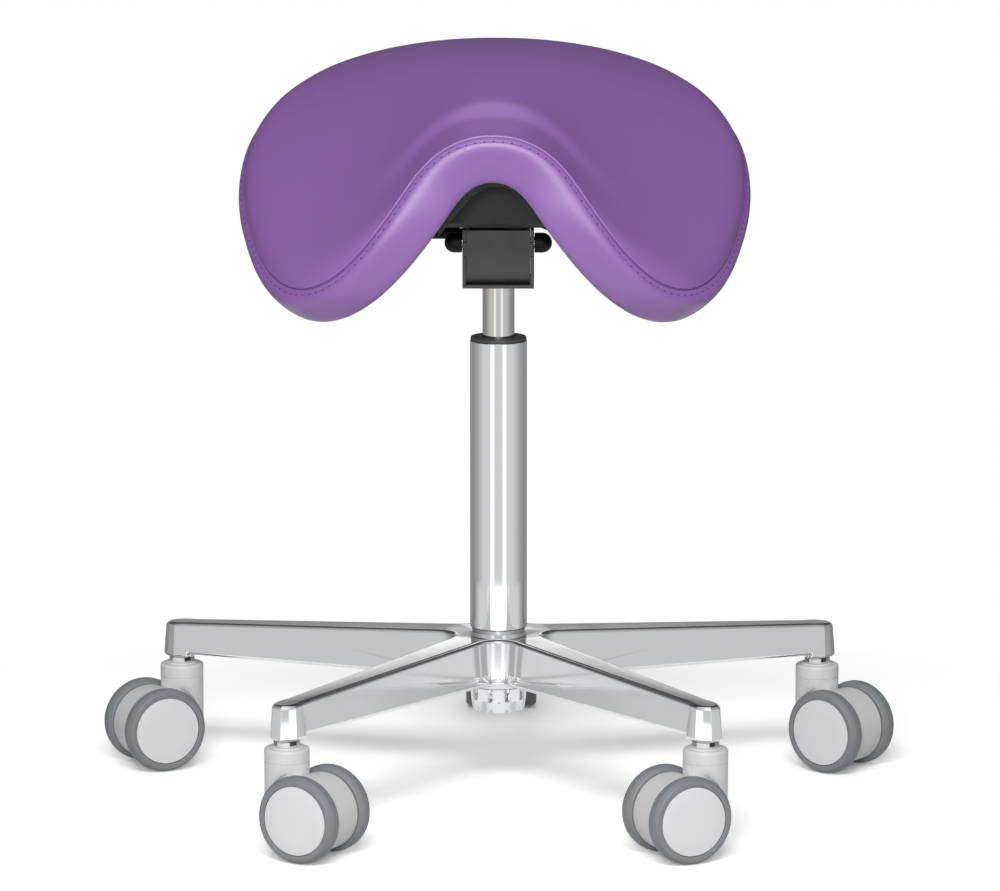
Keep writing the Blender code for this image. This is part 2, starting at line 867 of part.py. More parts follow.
def valve_pin():
    rod_cutter("valve_pin", valve_pin_radius, valve_pin_top_height - valve_pin_length, valve_pin_top_height,
               rod_facets, column_axis, brushed_steel)


# Tilt mechanism

side_inner = box_half_width - box_plate
front_plate_back = box_half_length - box_plate


def mechanism_box():
    """A bent steel channel, open at the front, the back and the top."""
    tab_depth = box_half_length - box_plate - fit_gap
    floor_top = box_underside_height + box_plate
    outline = [
        (-box_half_length - box_lip, box_underside_height),
        (box_half_length + box_lip, box_underside_height),
        (box_half_length + box_lip, floor_top),
        (box_half_length, floor_top),
        (box_half_length, box_rear_top_height),
        (-box_slope_start, box_top_height),
        (-box_half_length, box_top_height),
        (-box_half_length, box_tab_top_height),
        (-tab_depth, box_tab_top_height),
        (-tab_depth, box_tab_foot_height),
        (-box_half_length, box_tab_foot_height),
        (-box_half_length, floor_top),
        (-box_half_length - box_lip, floor_top),
    ]
    box = plate("mechanism_box", outline, 2 * box_half_width, black_steel, column_axis)
    stand_across(box)
    length = box_half_length + box_lip + cut_overrun
    inside = box_cutter("box_inside", (-side_inner, -length, floor_top),
                        (side_inner, length, box_top_height + cut_overrun), column_axis)
    add_boolean(box, inside)
    cylinder_hole = rod_cutter("cylinder_hole", cylinder_radius + fit_gap, box_underside_height - cut_overrun,
                               floor_top + cut_overrun, column_facets, column_axis)
    add_boolean(box, cylinder_hole)
    add_boolean(box, pivot_hole("box_pivot_hole", box_half_width + cut_overrun))

    lever_slot_half = lever_neck_radius + fit_gap
    lever_slot = box_cutter("lever_slot", (-box_half_width - cut_overrun, -lever_slot_half, lever_height - lever_slot_half),
                            (-side_inner + cut_overrun, lever_slot_half, box_top_height + cut_overrun), column_axis)
    add_boolean(box, lever_slot)
    lock_slot_half = lock_rod_radius + fit_gap
    lock_slot = box_cutter("lock_slot", (side_inner - cut_overrun, -lock_slot_half, lock_rod_height - lock_slot_half),
                           (box_half_width + cut_overrun, lock_slot_half, box_top_height + cut_overrun), column_axis)
    add_boolean(box, lock_slot)


def pivot_hole(name, half_length):
    hole = rod_cutter(name, pivot_radius + fit_gap, -half_length, half_length, rod_facets, column_axis)
    hole.location = (0.0, -pivot_forward, pivot_height)
    lay_along_x(hole)
    return hole


def front_plate():
    """The plate across the box's front, bent back at its foot, with a tab through each side."""
    foot = box_underside_height + box_plate + fit_gap
    bend_y = front_bend_radius - box_half_length
    bend_z = foot + front_bend_radius
    outer = []
    inner = []
    for step in range(front_bend_steps + 1):
        turn = math.pi + math.pi / 2 * step / front_bend_steps
        for line, radius in ((outer, front_bend_radius), (inner, front_bend_radius - box_plate)):
            line.append((bend_y + radius * math.cos(turn), bend_z + radius * math.sin(turn)))
    leaf_end = -(cylinder_radius + socket_wall + side_gap)
    outline = [(-box_half_length, box_top_height)] + outer
    outline += [(leaf_end, foot), (leaf_end, foot + box_plate)]
    outline += list(reversed(inner)) + [(-front_plate_back, box_top_height)]
    cover = plate("front_plate", outline, 2 * (side_inner - fit_gap), black_steel, column_axis)
    stand_across(cover)
    tabs = box_cutter("front_tabs", (-box_half_width, -box_half_length, box_tab_foot_height + fit_gap),
                      (box_half_width, -front_plate_back, box_tab_top_height - fit_gap), column_axis)
    add_boolean(cover, tabs, "UNION")


def rear_plate():
    foot = box_underside_height + box_plate + fit_gap
    inner = side_inner - fit_gap
    outline = [(inner, foot), (inner, box_rear_top_height), (-inner, box_rear_top_height), (-inner, foot)]
    cover = plate("rear_plate", outline, box_plate, black_steel, column_axis)
    stand_facing(cover)
    cover.location = (0.0, box_half_length - box_plate / 2, 0.0)


def taper_socket():
    foot = box_underside_height + box_plate + fit_gap
    fall = (cylinder_radius - cylinder_taper_top_radius) / (cylinder_top_height - box_underside_height)
    bore_foot = cylinder_radius - fall * (foot - box_underside_height) + fit_gap
    bore_top = cylinder_radius - fall * (socket_top_height - box_underside_height) + fit_gap
    outer = cylinder_radius + socket_wall
    turned("taper_socket", [
        (outer, socket_top_height),
        (outer, foot),
        (bore_foot, foot),
        (bore_top, socket_top_height),
    ], column_facets, black_steel, column_axis)


def pivot_shaft():
    half = box_half_width + cap_cup_depth
    shaft = rod_cutter("pivot_shaft", pivot_radius, -half, half, rod_facets, column_axis, brushed_steel)
    shaft.location = (0.0, -pivot_forward, pivot_height)
    lay_along_x(shaft)


def pivot_cap(name, side):
    """A domed cap over one end of the pivot shaft."""
    cup = pivot_radius + fit_gap
    inner = box_half_width + fit_gap
    straight = inner + cap_length - cap_radius
    cup_end = box_half_width + cap_cup_depth + fit_gap
    dome = []
    for step in range(cap_dome_steps):
        angle = math.pi / 2 * (1 - step / cap_dome_steps)
        dome.append((cap_radius * math.cos(angle), straight + cap_radius * math.sin(angle)))
    dome[0] = (0.0, straight + cap_radius)
    cap = turned(name, dome + [
        (cap_radius, straight), (cap_radius, inner), (cup, inner), (cup, cup_end), (0.0, cup_end),
    ], dome_facets, black_plastic, column_axis)
    cap.location = (0.0, -pivot_forward, pivot_height)
    cap.rotation_euler = (0.0, side * math.pi / 2, 0.0)


def tilt_bracket():
    """The seat's plate, with two cheeks that hang from it onto the pivot shaft."""
    plate_top = block_underside_height + bracket_plate
    outline = chamfered_rectangle(-bracket_half_width, bracket_half_width, -bracket_front, bracket_rear, bracket_corner)
    bracket = plate("tilt_bracket", outline, bracket_plate, black_steel, seat_tilt_axis)
    bracket.location = (0.0, pivot_forward, block_underside_height + bracket_plate / 2 - pivot_height)

    reach = (pivot_forward - cheek_top_front, pivot_forward - cheek_top_rear)
    outline = [(reach[0], plate_top - bracket_plate / 2 - pivot_height)]
    steps = 8
    for step in range(steps + 1):
        turn = math.pi + math.pi * step / steps
        outline.append((cheek_radius * math.cos(turn), cheek_radius * math.sin(turn)))
    outline.append((reach[1], plate_top - bracket_plate / 2 - pivot_height))
    for side, name in ((-1, "left_cheek"), (1, "right_cheek")):
        cheek = plate(name, outline, cheek_plate, None, seat_tilt_axis)
        stand_across(cheek)
        cheek.location = (side * (side_inner - fit_gap - cheek_plate / 2), 0.0, 0.0)
        add_boolean(bracket, cheek, "UNION")

    ear_low = (lock_ear_inner, pivot_forward - lock_ear_half_length, lock_ear_foot_height - pivot_height)
    ear_high = (lock_ear_inner + cheek_plate, pivot_forward + lock_ear_half_length,
                plate_top - bracket_plate / 2 - pivot_height)
    add_boolean(bracket, box_cutter("lock_ear", ear_low, ear_high, seat_tilt_axis), "UNION")
    add_boolean(bracket, pivot_hole("bracket_pivot_hole", side_inner))


# Levers

def height_lever():
    """A round handle that rocks in a slot in the box's left side, with a tongue over the valve pin."""
    handle = turned("height_lever", [
        (0.0, lever_grip_end),
        (lever_grip_radius * 0.6, lever_grip_end),
        (lever_grip_radius, lever_grip_end - lever_grip_radius * 0.6),
        (lever_grip_radius, lever_grip_start + lever_grip_radius - lever_neck_radius),
        (lever_neck_radius, lever_grip_start),
        (lever_neck_radius, lever_tongue_root - box_plate),
        (0.0, lever_tongue_root - box_plate),
    ], rod_facets, black_plastic, column_axis)
    handle.location = (0.0, 0.0, lever_height)
    handle.rotation_euler = (0.0, -math.pi / 2, 0.0)
    tongue_foot = valve_pin_top_height + fit_gap
    tongue = box_cutter("lever_tongue", (-lever_tongue_root, -lever_tongue_half_width, tongue_foot),
                        (lever_tongue_reach, lever_tongue_half_width, tongue_foot + lever_tongue_thickness), column_axis)
    add_boolean(handle, tongue, "UNION")


def tilt_lever():
    """A bent wire handle on the right, from the lock's ear out under the seat, with a small grip."""
    start = lock_ear_inner + cheek_plate + fit_gap
    end_height = lock_rod_height - lock_rod_fall_share * (lock_rod_end - lock_rod_bend)
    curve = bpy.data.curves.new("tilt_lever", "CURVE")
    curve.dimensions = "3D"
    curve.bevel_depth = lock_rod_radius
    curve.bevel_resolution = 1
    curve.use_fill_caps = True
    spline = curve.splines.new("POLY")
    route = [(start, lock_rod_height), (lock_rod_bend, lock_rod_height), (lock_rod_end, end_height)]
    spline.points.add(len(route) - 1)
    for point, (x, z) in zip(spline.points, route):
        point.co = (x, 0.0, z, 1.0)
    guide = bpy.data.objects.new("tilt_lever_route", curve)
    cutters.objects.link(guide)
    evaluated = guide.evaluated_get(bpy.context.evaluated_depsgraph_get())
    wire = bpy.data.meshes.new_from_object(evaluated)
    bpy.data.objects.remove(guide, do_unlink=True)
    shape = bmesh.new()
    shape.from_mesh(wire)
    bmesh.ops.remove_doubles(shape, verts=shape.verts, dist=weld_distance)
    lever = new_object("tilt_lever", finished_mesh("tilt_lever", shape), black_steel, column_axis)

    slope = math.atan(lock_rod_fall_share)
    grip = turned("lock_grip", [
        (0.0, lock_grip_length),
        (lock_grip_radius * 0.6, lock_grip_length),
        (lock_grip_radius, lock_grip_length - lock_grip_radius * 0.6),
        (lock_grip_radius, 0.0),
        (0.0, 0.0),
    ], rod_facets, None, column_axis)
    grip.location = (lock_rod_end - lock_grip_length / 4, 0.0, end_height + lock_rod_fall_share * lock_grip_length / 4)
    grip.rotation_euler = (0.0, math.pi / 2 + slope, 0.0)
    add_boolean(lever, grip, "UNION")


# Saddle form

def blend_three(front, middle, rear, share):
    """A smooth curve through three values, at shares -1, 0 and 1 of the seat's length."""
    return front * share * (share - 1) / 2 + middle * (1 - share * share) + rear * share * (share + 1) / 2


def ridge_height(share):
    """Height of the saddle's middle line, a cubic through four heights along the seat."""
    third = 1 / 3
    front = -9 / 16 * (share + third) * (share - third) * (share - 1) * ridge_front_height
    forward = 27 / 16 * (share + 1) * (share - third) * (share - 1) * ridge_forward_height
    backward = -27 / 16 * (share + 1) * (share + third) * (share - 1) * ridge_backward_height
    rear = 9 / 16 * (share + 1) * (share + third) * (share - third) * ridge_rear_height
    return front + forward + backward + rear


def saddle_point(arc, along):
    """A point of the sheet halfway through the pad, so far out along its curve and so far back."""
    length = pad_front_length if along < 0.0 else pad_rear_length
    share = max(-1.0, min(1.0, along / length))
    angle = blend_three(flap_front_angle, flap_middle_angle, flap_rear_angle, share)
    run = blend_three(flap_front_run, flap_middle_run, flap_rear_run, share)
    across = 0.0
    drop = 0.0
    for step in range(flap_steps):
        out = abs(arc) * (step + 0.5) / flap_steps
        slope = angle * math.sin(min(out / run, 1.0) * math.pi / 2) ** flap_power
        across += math.cos(slope) * arc / flap_steps
        drop += math.sin(slope) * abs(arc) / flap_steps
    return Vector((across, along - pad_forward_shift - pad_rake_share * drop, ridge_height(share) - drop))


def pad_point(arc, along, height):
    """A point so high above or below the sheet, square to it."""
    place = saddle_point(arc, along)
    across = saddle_point(arc + probe_step, along) - place
    back = saddle_point(arc, along + probe_step) - place
    return place + across.cross(back).normalized() * height


def pad_ring(reach_share, height):
    """One ring of points round the pad, a share of the way out to its outline."""
    ring = []
    for index in range(pad_facets):
        angle = math.tau * (index + 0.5) / pad_facets
        across = math.cos(angle)
        back = math.sin(angle)
        power = pad_front_power if back < 0.0 else pad_rear_power
        length = pad_front_length if back < 0.0 else pad_rear_length
        reach = (abs(across) ** power + abs(back) ** power) ** (-1 / power)
        arc = pad_half_arc * across * reach * reach_share
        along = length * back * reach * reach_share
        thinning = pad_front_thinning / pad_thickness * (along / length) ** 2 if back < 0.0 else 0.0
        ring.append(pad_point(arc, along, height * (1 - thinning)))
    return ring


def pad_middle(height):
    return pad_point(0.0, 0.0, height)


def domed_solid(name, top, rings, foot, material, parent):
    """A closed solid of rings, with a single point at its top and at its foot."""
    shape = bmesh.new()
    rows = [[shape.verts.new(point) for point in ring] for ring in rings]
    peak = shape.verts.new(top)
    base = shape.verts.new(foot)
    count = len(rows[0])
    for index in range(count):
        after = (index + 1) % count
        shape.faces.new((peak, rows[0][index], rows[0][after]))
        for upper, lower in zip(rows, rows[1:]):
            shape.faces.new((upper[index], lower[index], upper[after]))
            shape.faces.new((lower[index], lower[after], upper[after]))
        shape.faces.new((base, rows[-1][after], rows[-1][index]))
    thing = new_object(name, finished_mesh(name, shape), material, parent)
    return thing


def on_seat(thing):
    """Places a piece made in the column's frame under the seat's tilting axis."""
    thing.location = (0.0, pivot_forward, -pivot_height)
    return thing


def crown_at(share):
    return pad_crown * (1 - share * share)


def seat_cushion():
    half = pad_thickness / 2
    rings = [pad_ring(share, half * level + crown_at(share)) for share, level in pad_top_shares]
    rings += [pad_ring(share, half * level) for share, level in pad_side_shares + pad_underside_shares]
    on_seat(domed_solid("seat_cushion", pad_middle(half + pad_crown), rings, pad_middle(-half),
                        purple_leather, seat_tilt_axis))


def pan_shell(name, below, above, material):
    """A shell on the pad's underside, so thick below and above it."""
    height = -pad_thickness / 2 - fit_gap
    shape = bmesh.new()
    rows = [[shape.verts.new(point) for point in pad_ring(share, height)] for share in pan_shares]
    middle = shape.verts.new(pad_middle(height))
    for index in range(pad_facets):
        after = (index + 1) % pad_facets
        shape.faces.new((middle, rows[0][index], rows[0][after]))
        for inner, outer in zip(rows, rows[1:]):
            shape.faces.new((inner[index], outer[index], outer[after]))
            shape.faces.new((inner[index], outer[after], inner[after]))
    shell = on_seat(new_object(name, finished_mesh(name, shape), material, seat_tilt_axis))
    thickness = shell.modifiers.new("thickness", "SOLIDIFY")
    thickness.thickness = below + above
    thickness.offset = (above - below) / (above + below)
    return shell


def seat_pan():
    """A thin moulded shell that carries the pad from below."""
    pan_shell("seat_pan", pan_thickness, 0.0, black_plastic)


def seat_block():
    """The block that fills the arch between the pan and the tilting bracket."""
    low = block_underside_height
    outline = chamfered_rectangle(-block_half_width, block_half_width, -block_front, block_rear, block_corner)
    rings = [[(x, y, low) for x, y in outline], [(x, y, block_top_height) for x, y in outline]]
    block = on_seat(lofted("seat_block", rings, black_plastic, seat_tilt_axis))

    add_boolean(block, pan_shell("pan_room", pan_thickness + fit_gap, pan_room_above, None))

    plate_room = bracket_plate + fit_gap
    recess_outline = chamfered_rectangle(-bracket_half_width - fit_gap, bracket_half_width + fit_gap,
                                         -bracket_front - fit_gap, bracket_rear + fit_gap, bracket_corner)
    recess_rings = [
        [(x, y, low - cut_overrun) for x, y in recess_outline],
        [(x, y, low + plate_room) for x, y in recess_outline],
    ]
    recess = on_seat(lofted("bracket_recess", recess_rings, None, seat_tilt_axis))
    add_boolean(block, recess)


# Castors: made about their stem, trailing along +Y

def castor_housing(name, axis):
    housing = turned(f"{name}_housing", [
        (0.0, barrel_top_height + barrel_ring_height),
        (barrel_ring_radius, barrel_top_height + barrel_ring_height),
        (barrel_ring_radius, barrel_top_height),
        (barrel_radius - barrel_edge, barrel_top_height),
        (barrel_radius, barrel_top_height - barrel_edge),
        (barrel_radius, barrel_foot_height + barrel_foot_rounding),
        (barrel_radius - barrel_foot_rounding, barrel_foot_height),
        (0.0, barrel_foot_height),
    ], barrel_facets, castor_plastic, axis)
    half = wheel_offset - wheel_width / 2 - side_gap
    drum = turned(f"{name}_drum", [
        (0.0, half),
        (housing_drum_radius - housing_drum_edge, half),
        (housing_drum_radius, half - housing_drum_edge),
        (housing_drum_radius, housing_drum_edge - half),
        (housing_drum_radius - housing_drum_edge, -half),
        (0.0, -half),
    ], barrel_facets, None, axis)
    on_axle(drum)
    add_boolean(housing, drum, "UNION")
    for side, label in ((-1, "a"), (1, "b")):
        arch = rod_cutter(f"{name}_arch_{label}", wheel_arch_radius, half - wheel_arch_bite,
                          half + wheel_width + cut_overrun, arch_facets, axis)
        on_axle(arch, side)
        add_boolean(housing, arch)
    under = box_cutter(f"{name}_foot", (-wheel_offset, -wheel_radius, -cut_overrun),
                       (wheel_offset, castor_trail + wheel_radius, housing_foot_height), axis)
    add_boolean(housing, under)
    axle_hole = rod_cutter(f"{name}_axle_hole", axle_radius + fit_gap, -wheel_offset, wheel_offset, rod_facets, axis)
    on_axle(axle_hole)
    add_boolean(housing, axle_hole)
    stem_hole = rod_cutter(f"{name}_stem_hole", stem_radius + running_gap, stem_foot_height - stem_end_clearance,
                           barrel_top_height + cut_overrun, rod_facets, axis)
    add_boolean(housing, stem_hole)


def on_axle(thing, side=1):
    """Places a piece made along Z on the castor's axle, with its top towards one side."""
    thing.location = (0.0, castor_trail, wheel_radius)
    thing.rotation_euler = (0.0, side * math.pi / 2, 0.0)


def castor_stem(name, axis):
    """A steel pin, fixed in the arm's socket, with a six-sided neck under the arm."""
    neck_foot = barrel_top_height + barrel_ring_height + fit_gap
    neck_top = arm_underside(stem_circle_radius + tip_reach) - fit_gap
    neck_top = min(neck_top, tip_boss_foot_height - fit_gap)
    stem = rod_cutter(f"{name}_stem", stem_radius, stem_foot_height, tip_socket_height - stem_end_clearance,
                      rod_facets, axis, brushed_steel)
    neck = rod_cutter(f"{name}_neck", stem_hex_radius, neck_foot, neck_top, stem_hex_sides, axis)
    add_boolean(stem, neck, "UNION")


def castor_axle(name, axis):
    half = wheel_offset + wheel_width / 2 - axle_end_clearance
    on_axle(rod_cutter(f"{name}_axle", axle_radius, -half, half, rod_facets, axis, brushed_steel))


def wheel(name, label, side, axis):
    """One wheel: a moulded core, blind on its outer face, and a soft tyre on its rim."""
    inner = wheel_offset - wheel_width / 2
    outer = wheel_offset + wheel_width / 2
    rim = wheel_radius - tyre_side_height
    core_radius = rim - fit_gap
    axle_end = outer - axle_end_clearance
    bore = axle_radius + running_gap
    core = turned(f"{name}_core_{label}", [
        (0.0, outer - core_inset),
        (core_radius, outer - core_inset),
        (core_radius, inner + core_inset),
        (bore, inner + core_inset),
        (bore, axle_end + fit_gap),
        (0.0, axle_end + fit_gap),
    ], castor_facets, castor_plastic, axis)
    on_axle(core, side)

    # The tread's flats, not its corners, reach the wheel's radius, so the stool stands on a flat
    corner = 1 / math.cos(math.pi / castor_facets)
    tread = wheel_radius * corner
    shoulder = (wheel_radius - tyre_shoulder_height) * corner
    seat = rim / math.cos(math.pi / castor_facets)
    tyre = turned(f"{name}_tyre_{label}", [
        (seat, outer),
        (shoulder, outer - tyre_edge),
        (tread, outer - tyre_shoulder_width),
        (tread, inner + tyre_shoulder_width),
        (shoulder, inner + tyre_edge),
        (seat, inner),
    ], castor_facets, tyre_rubber, axis, flat_first=True)
    on_axle(tyre, side)


def castors():
    for name, arm_angle, heading in castor_arms():
        stem_x, stem_y, floor = polar_point(arm_angle, stem_circle_radius, 0.0, 0.0)
        axis = make_empty(f"castor_{name}", (stem_x, stem_y + column_y, floor), heading - math.pi / 2)
        castor_stem(f"castor_{name}", axis)
        castor_housing(f"castor_{name}", axis)
        castor_axle(f"castor_{name}", axis)
        wheel(f"castor_{name}", "a", -1, axis)
        wheel(f"castor_{name}", "b", 1, axis)


star_base()
hub_collar()
column_tube()
guide_bush()
thrust_bearing()
buffer_ring()
piston_rod()
retaining_clip()
rod_guide()
gas_cylinder()
valve_pin()
mechanism_box()
front_plate()
rear_plate()
taper_socket()
pivot_shaft()
pivot_cap("pivot_cap_left", -1)
pivot_cap("pivot_cap_right", 1)
tilt_bracket()
height_lever()
tilt_lever()
seat_block()
seat_pan()
seat_cushion()
castors()
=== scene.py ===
"""Looks of the medical saddle stool: its stitched saddle, cast base, castors and mechanism.

Metres, +Z up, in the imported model's frame. The sitter faces -Y, towards the camera.
"""

import math

import bpy
import bmesh
from mathutils import Matrix, Vector


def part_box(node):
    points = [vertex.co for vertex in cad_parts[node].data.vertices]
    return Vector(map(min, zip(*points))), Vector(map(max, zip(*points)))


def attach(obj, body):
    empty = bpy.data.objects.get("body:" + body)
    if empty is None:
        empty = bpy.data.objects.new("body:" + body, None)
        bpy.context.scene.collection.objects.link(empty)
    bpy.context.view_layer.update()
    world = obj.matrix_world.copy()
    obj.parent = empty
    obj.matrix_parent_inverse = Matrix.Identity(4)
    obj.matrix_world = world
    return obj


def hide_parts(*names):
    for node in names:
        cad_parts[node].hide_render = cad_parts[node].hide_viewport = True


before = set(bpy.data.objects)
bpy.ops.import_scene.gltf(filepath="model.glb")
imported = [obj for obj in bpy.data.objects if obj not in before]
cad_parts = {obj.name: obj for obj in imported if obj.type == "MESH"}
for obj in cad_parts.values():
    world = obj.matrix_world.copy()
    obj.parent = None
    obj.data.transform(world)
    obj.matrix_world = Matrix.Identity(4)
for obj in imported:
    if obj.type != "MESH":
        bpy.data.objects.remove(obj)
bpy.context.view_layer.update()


# Colours, as they look on screen

def screen_colour(red, green, blue):
    """A colour given as 0 to 255 on screen, as the linear values that a shader takes."""
    return tuple((value / 255) ** 2.2 for value in (red, green, blue)) + (1.0,)


leather_purple = screen_colour(136, 95, 163)
leather_deep = screen_colour(131, 90, 158)
stitch_purple = screen_colour(138, 99, 166)
# Painted shade: the dark purple of the needle holes stands in for the shade inside them.
painted_hole_shade_purple = screen_colour(62, 36, 88)
aluminium_colour = screen_colour(216, 217, 218)
column_colour = screen_colour(226, 227, 229)
steel_colour = screen_colour(208, 206, 201)
bright_steel_colour = screen_colour(214, 214, 212)
coat_grey = screen_colour(71, 71, 71)
block_black = screen_colour(40, 40, 40)
cap_black = screen_colour(7, 7, 8)
housing_grey = screen_colour(206, 206, 206)
wheel_face_grey = screen_colour(212, 213, 214)
tyre_grey = screen_colour(119, 123, 126)


# Where things are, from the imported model

def node_middle(node):
    low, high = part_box(node)
    return (low + high) / 2


column_middle = node_middle("column_tube")
column_place = Vector((column_middle.x, column_middle.y, 0.0))
seat_pivot_height = 0.4900
seat_pivot_forward = 0.0260
pan_front_half_width = 0.0500


# Mesh tools

def new_piece(name, mesh, place=(0.0, 0.0, 0.0)):
    piece = bpy.data.objects.new(name, mesh)
    piece.location = place
    bpy.context.scene.collection.objects.link(piece)
    return piece


def shaded_mesh(name, shape, sharp_angle=35.0):
    """The mesh of a bmesh, smooth but for edges sharper than the angle."""
    bmesh.ops.recalc_face_normals(shape, faces=shape.faces)
    mesh = bpy.data.meshes.new(name)
    shape.to_mesh(mesh)
    shape.free()
    mesh.shade_smooth()
    mesh.set_sharp_from_angle(angle=math.radians(sharp_angle))
    return mesh


def dressed(piece, material, body, replaces=()):
    """Gives a piece its material, the body it moves with and the solids it stands for."""
    piece.data.materials.clear()
    piece.data.materials.append(material)
    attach(piece, body)
    if replaces:
        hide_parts(*replaces)
    return piece


def baked(piece):
    """Applies a piece's modifiers, and keeps its flat faces flat beside rounded edges."""
    step = piece.modifiers.new("even_normals", "WEIGHTED_NORMAL")
    step.keep_sharp = True
    step.weight = 100
    graph = bpy.context.evaluated_depsgraph_get()
    mesh = bpy.data.meshes.new_from_object(piece.evaluated_get(graph))
    mesh.name = piece.name
    old = piece.data
    piece.modifiers.clear()
    piece.data = mesh
    bpy.data.meshes.remove(old)
    return piece


def rounded(points, steps=5):
    """An outline of (across, up, radius) points with its corners rounded, as (across, up) points."""
    outline = []
    for index, (x, y, radius) in enumerate(points):
        here = Vector((x, y))
        if radius <= 0.0 or index in (0, len(points) - 1):
            outline.append((x, y))
            continue
        before = (Vector(points[index - 1][:2]) - here).normalized()
        after = (Vector(points[index + 1][:2]) - here).normalized()
        half = before.angle(after) / 2
        reach = radius / math.tan(half)
        start = here + before * reach
        end = here + after * reach
        centre = here + (before + after).normalized() * radius / math.sin(half)
        for step in range(steps + 1):
            share = step / steps
            spoke = (start - centre).lerp(end - centre, share)
            point = centre + spoke.normalized() * radius
            outline.append((point.x, point.y))
    return outline


def turned_mesh(name, profile, facets, sharp_angle=35.0, closed=False):
    """A profile of (radius, height) points turned about Z."""
    shape = bmesh.new()
    rows = []
    for radius, height in profile:
        if radius < 0.000001:
            rows.append([shape.verts.new((0.0, 0.0, height))])
            continue
        row = []
        for index in range(facets):
            turn = math.tau * index / facets
            row.append(shape.verts.new((radius * math.cos(turn), radius * math.sin(turn), height)))
        rows.append(row)
    pairs = list(zip(rows, rows[1:]))
    if closed:
        pairs.append((rows[-1], rows[0]))
    for upper, lower in pairs:
        for index in range(facets):
            after = (index + 1) % facets
            if len(upper) == 1 and len(lower) == 1:
                continue
            if len(upper) == 1:
                shape.faces.new((upper[0], lower[index], lower[after]))
            elif len(lower) == 1:
                shape.faces.new((upper[index], lower[0], upper[after]))
            else:
                shape.faces.new((upper[index], lower[index], lower[after], upper[after]))
    return shaded_mesh(name, shape, sharp_angle)


def loft_mesh(name, rings, sharp_angle=35.0):
    """A closed solid through rings of the same number of points."""
    shape = bmesh.new()
    rows = [[shape.verts.new(point) for point in ring] for ring in rings]
    count = len(rows[0])
    for lower, upper in zip(rows, rows[1:]):
        for index in range(count):
            after = (index + 1) % count
            shape.faces.new((lower[index], lower[after], upper[after], upper[index]))
    shape.faces.new(list(reversed(rows[0])))
    shape.faces.new(rows[-1])
    bmesh.ops.triangulate(shape, faces=[face for face in shape.faces if len(face.verts) == 4])
    return shaded_mesh(name, shape, sharp_angle)


def slab_mesh(name, outline, low, high, place):
    """A flat outline of (across, up) points given thickness; place maps (across, up, depth) to a point."""
    rings = [[place(across, up, depth) for across, up in outline] for depth in (low, high)]
    return loft_mesh(name, rings)


def turned_piece(name, profile, facets, place=(0.0, 0.0, 0.0), closed=False):
    return new_piece(name, turned_mesh(name, profile, facets, closed=closed), place)


def box_piece(name, low, high, place=(0.0, 0.0, 0.0)):
    shape = bmesh.new()
    middle = (Vector(low) + Vector(high)) / 2
    size = Vector(high) - Vector(low)
    bmesh.ops.create_cube(shape, size=1.0, matrix=Matrix.Translation(middle) @ Matrix.Diagonal((*size, 1.0)))
    return new_piece(name, shaded_mesh(name, shape), place)


def cut(piece, cutter, operation="DIFFERENCE"):
    step = piece.modifiers.new("cut", "BOOLEAN")
    step.operation = operation
    step.object = cutter
    step.solver = "EXACT"


def round_edges(piece, width, segments, angle):
    step = piece.modifiers.new("edges", "BEVEL")
    step.width = width
    step.segments = segments
    step.limit_method = "ANGLE"
    step.angle_limit = math.radians(angle)
    step.harden_normals = False
    return step


def remove_all(pieces):
    for piece in pieces:
        bpy.data.objects.remove(piece, do_unlink=True)


# Material tools

class Shader:
    """A new material's nodes, with short calls for adding and joining them."""

    def __init__(self, name, colour, roughness, metallic=0.0):
        self.material = bpy.data.materials.new(name)
        self.material.use_nodes = True
        self.nodes = self.material.node_tree.nodes
        self.links = self.material.node_tree.links
        self.surface = self.nodes["Principled BSDF"]
        self.set("Base Color", colour)
        self.set("Roughness", roughness)
        self.set("Metallic", metallic)

    def set(self, socket, value):
        self.surface.inputs[socket].default_value = value

    def feed(self, socket, output):
        self.links.new(output, self.surface.inputs[socket])

    def effect(self, group, **values):
        """Places a shared effect and sets its named inputs."""
        node = self.nodes.new("ShaderNodeGroup")
        node.node_tree = group
        for name, value in values.items():
            node.inputs[name.replace("_", " ").capitalize()].default_value = value
        return node


def new_effect(name, inputs, outputs):
    """An empty node group with float, colour or vector sockets, and its own end nodes."""
    group = bpy.data.node_groups.new(name, "ShaderNodeTree")
    kinds = {"value": "NodeSocketFloat", "colour": "NodeSocketColor", "vector": "NodeSocketVector"}
    for socket, kind, default in inputs:
        made = group.interface.new_socket(name=socket, in_out="INPUT", socket_type=kinds[kind])
        if default is not None:
            made.default_value = default
    for socket, kind in outputs:
        group.interface.new_socket(name=socket, in_out="OUTPUT", socket_type=kinds[kind])
    start = group.nodes.new("NodeGroupInput")
    end = group.nodes.new("NodeGroupOutput")
    return group, start, end


def object_space(group):
    return group.nodes.new("ShaderNodeTexCoord").outputs["Object"]


# Shared effects

def build_surface_texture():
    """Fine moulded or sprayed texture, as a normal."""
    group, start, end = new_effect(
        "surface_texture",
        [("Grain size", "value", 0.001), ("Depth", "value", 0.2)],
        [("Normal", "vector")],
    )
    scale = group.nodes.new("ShaderNodeMath")
    scale.operation = "DIVIDE"
    scale.inputs[0].default_value = 1.0
    noise = group.nodes.new("ShaderNodeTexNoise")
    noise.inputs["Detail"].default_value = 3.0
    noise.inputs["Roughness"].default_value = 0.6
    bump = group.nodes.new("ShaderNodeBump")
    bump.inputs["Distance"].default_value = 0.0004
    group.links.new(start.outputs["Grain size"], scale.inputs[1])
    group.links.new(object_space(group), noise.inputs["Vector"])
    group.links.new(scale.outputs[0], noise.inputs["Scale"])
    group.links.new(noise.outputs["Fac"], bump.inputs["Height"])
    group.links.new(start.outputs["Depth"], bump.inputs["Strength"])
    group.links.new(bump.outputs["Normal"], end.inputs["Normal"])
    return group


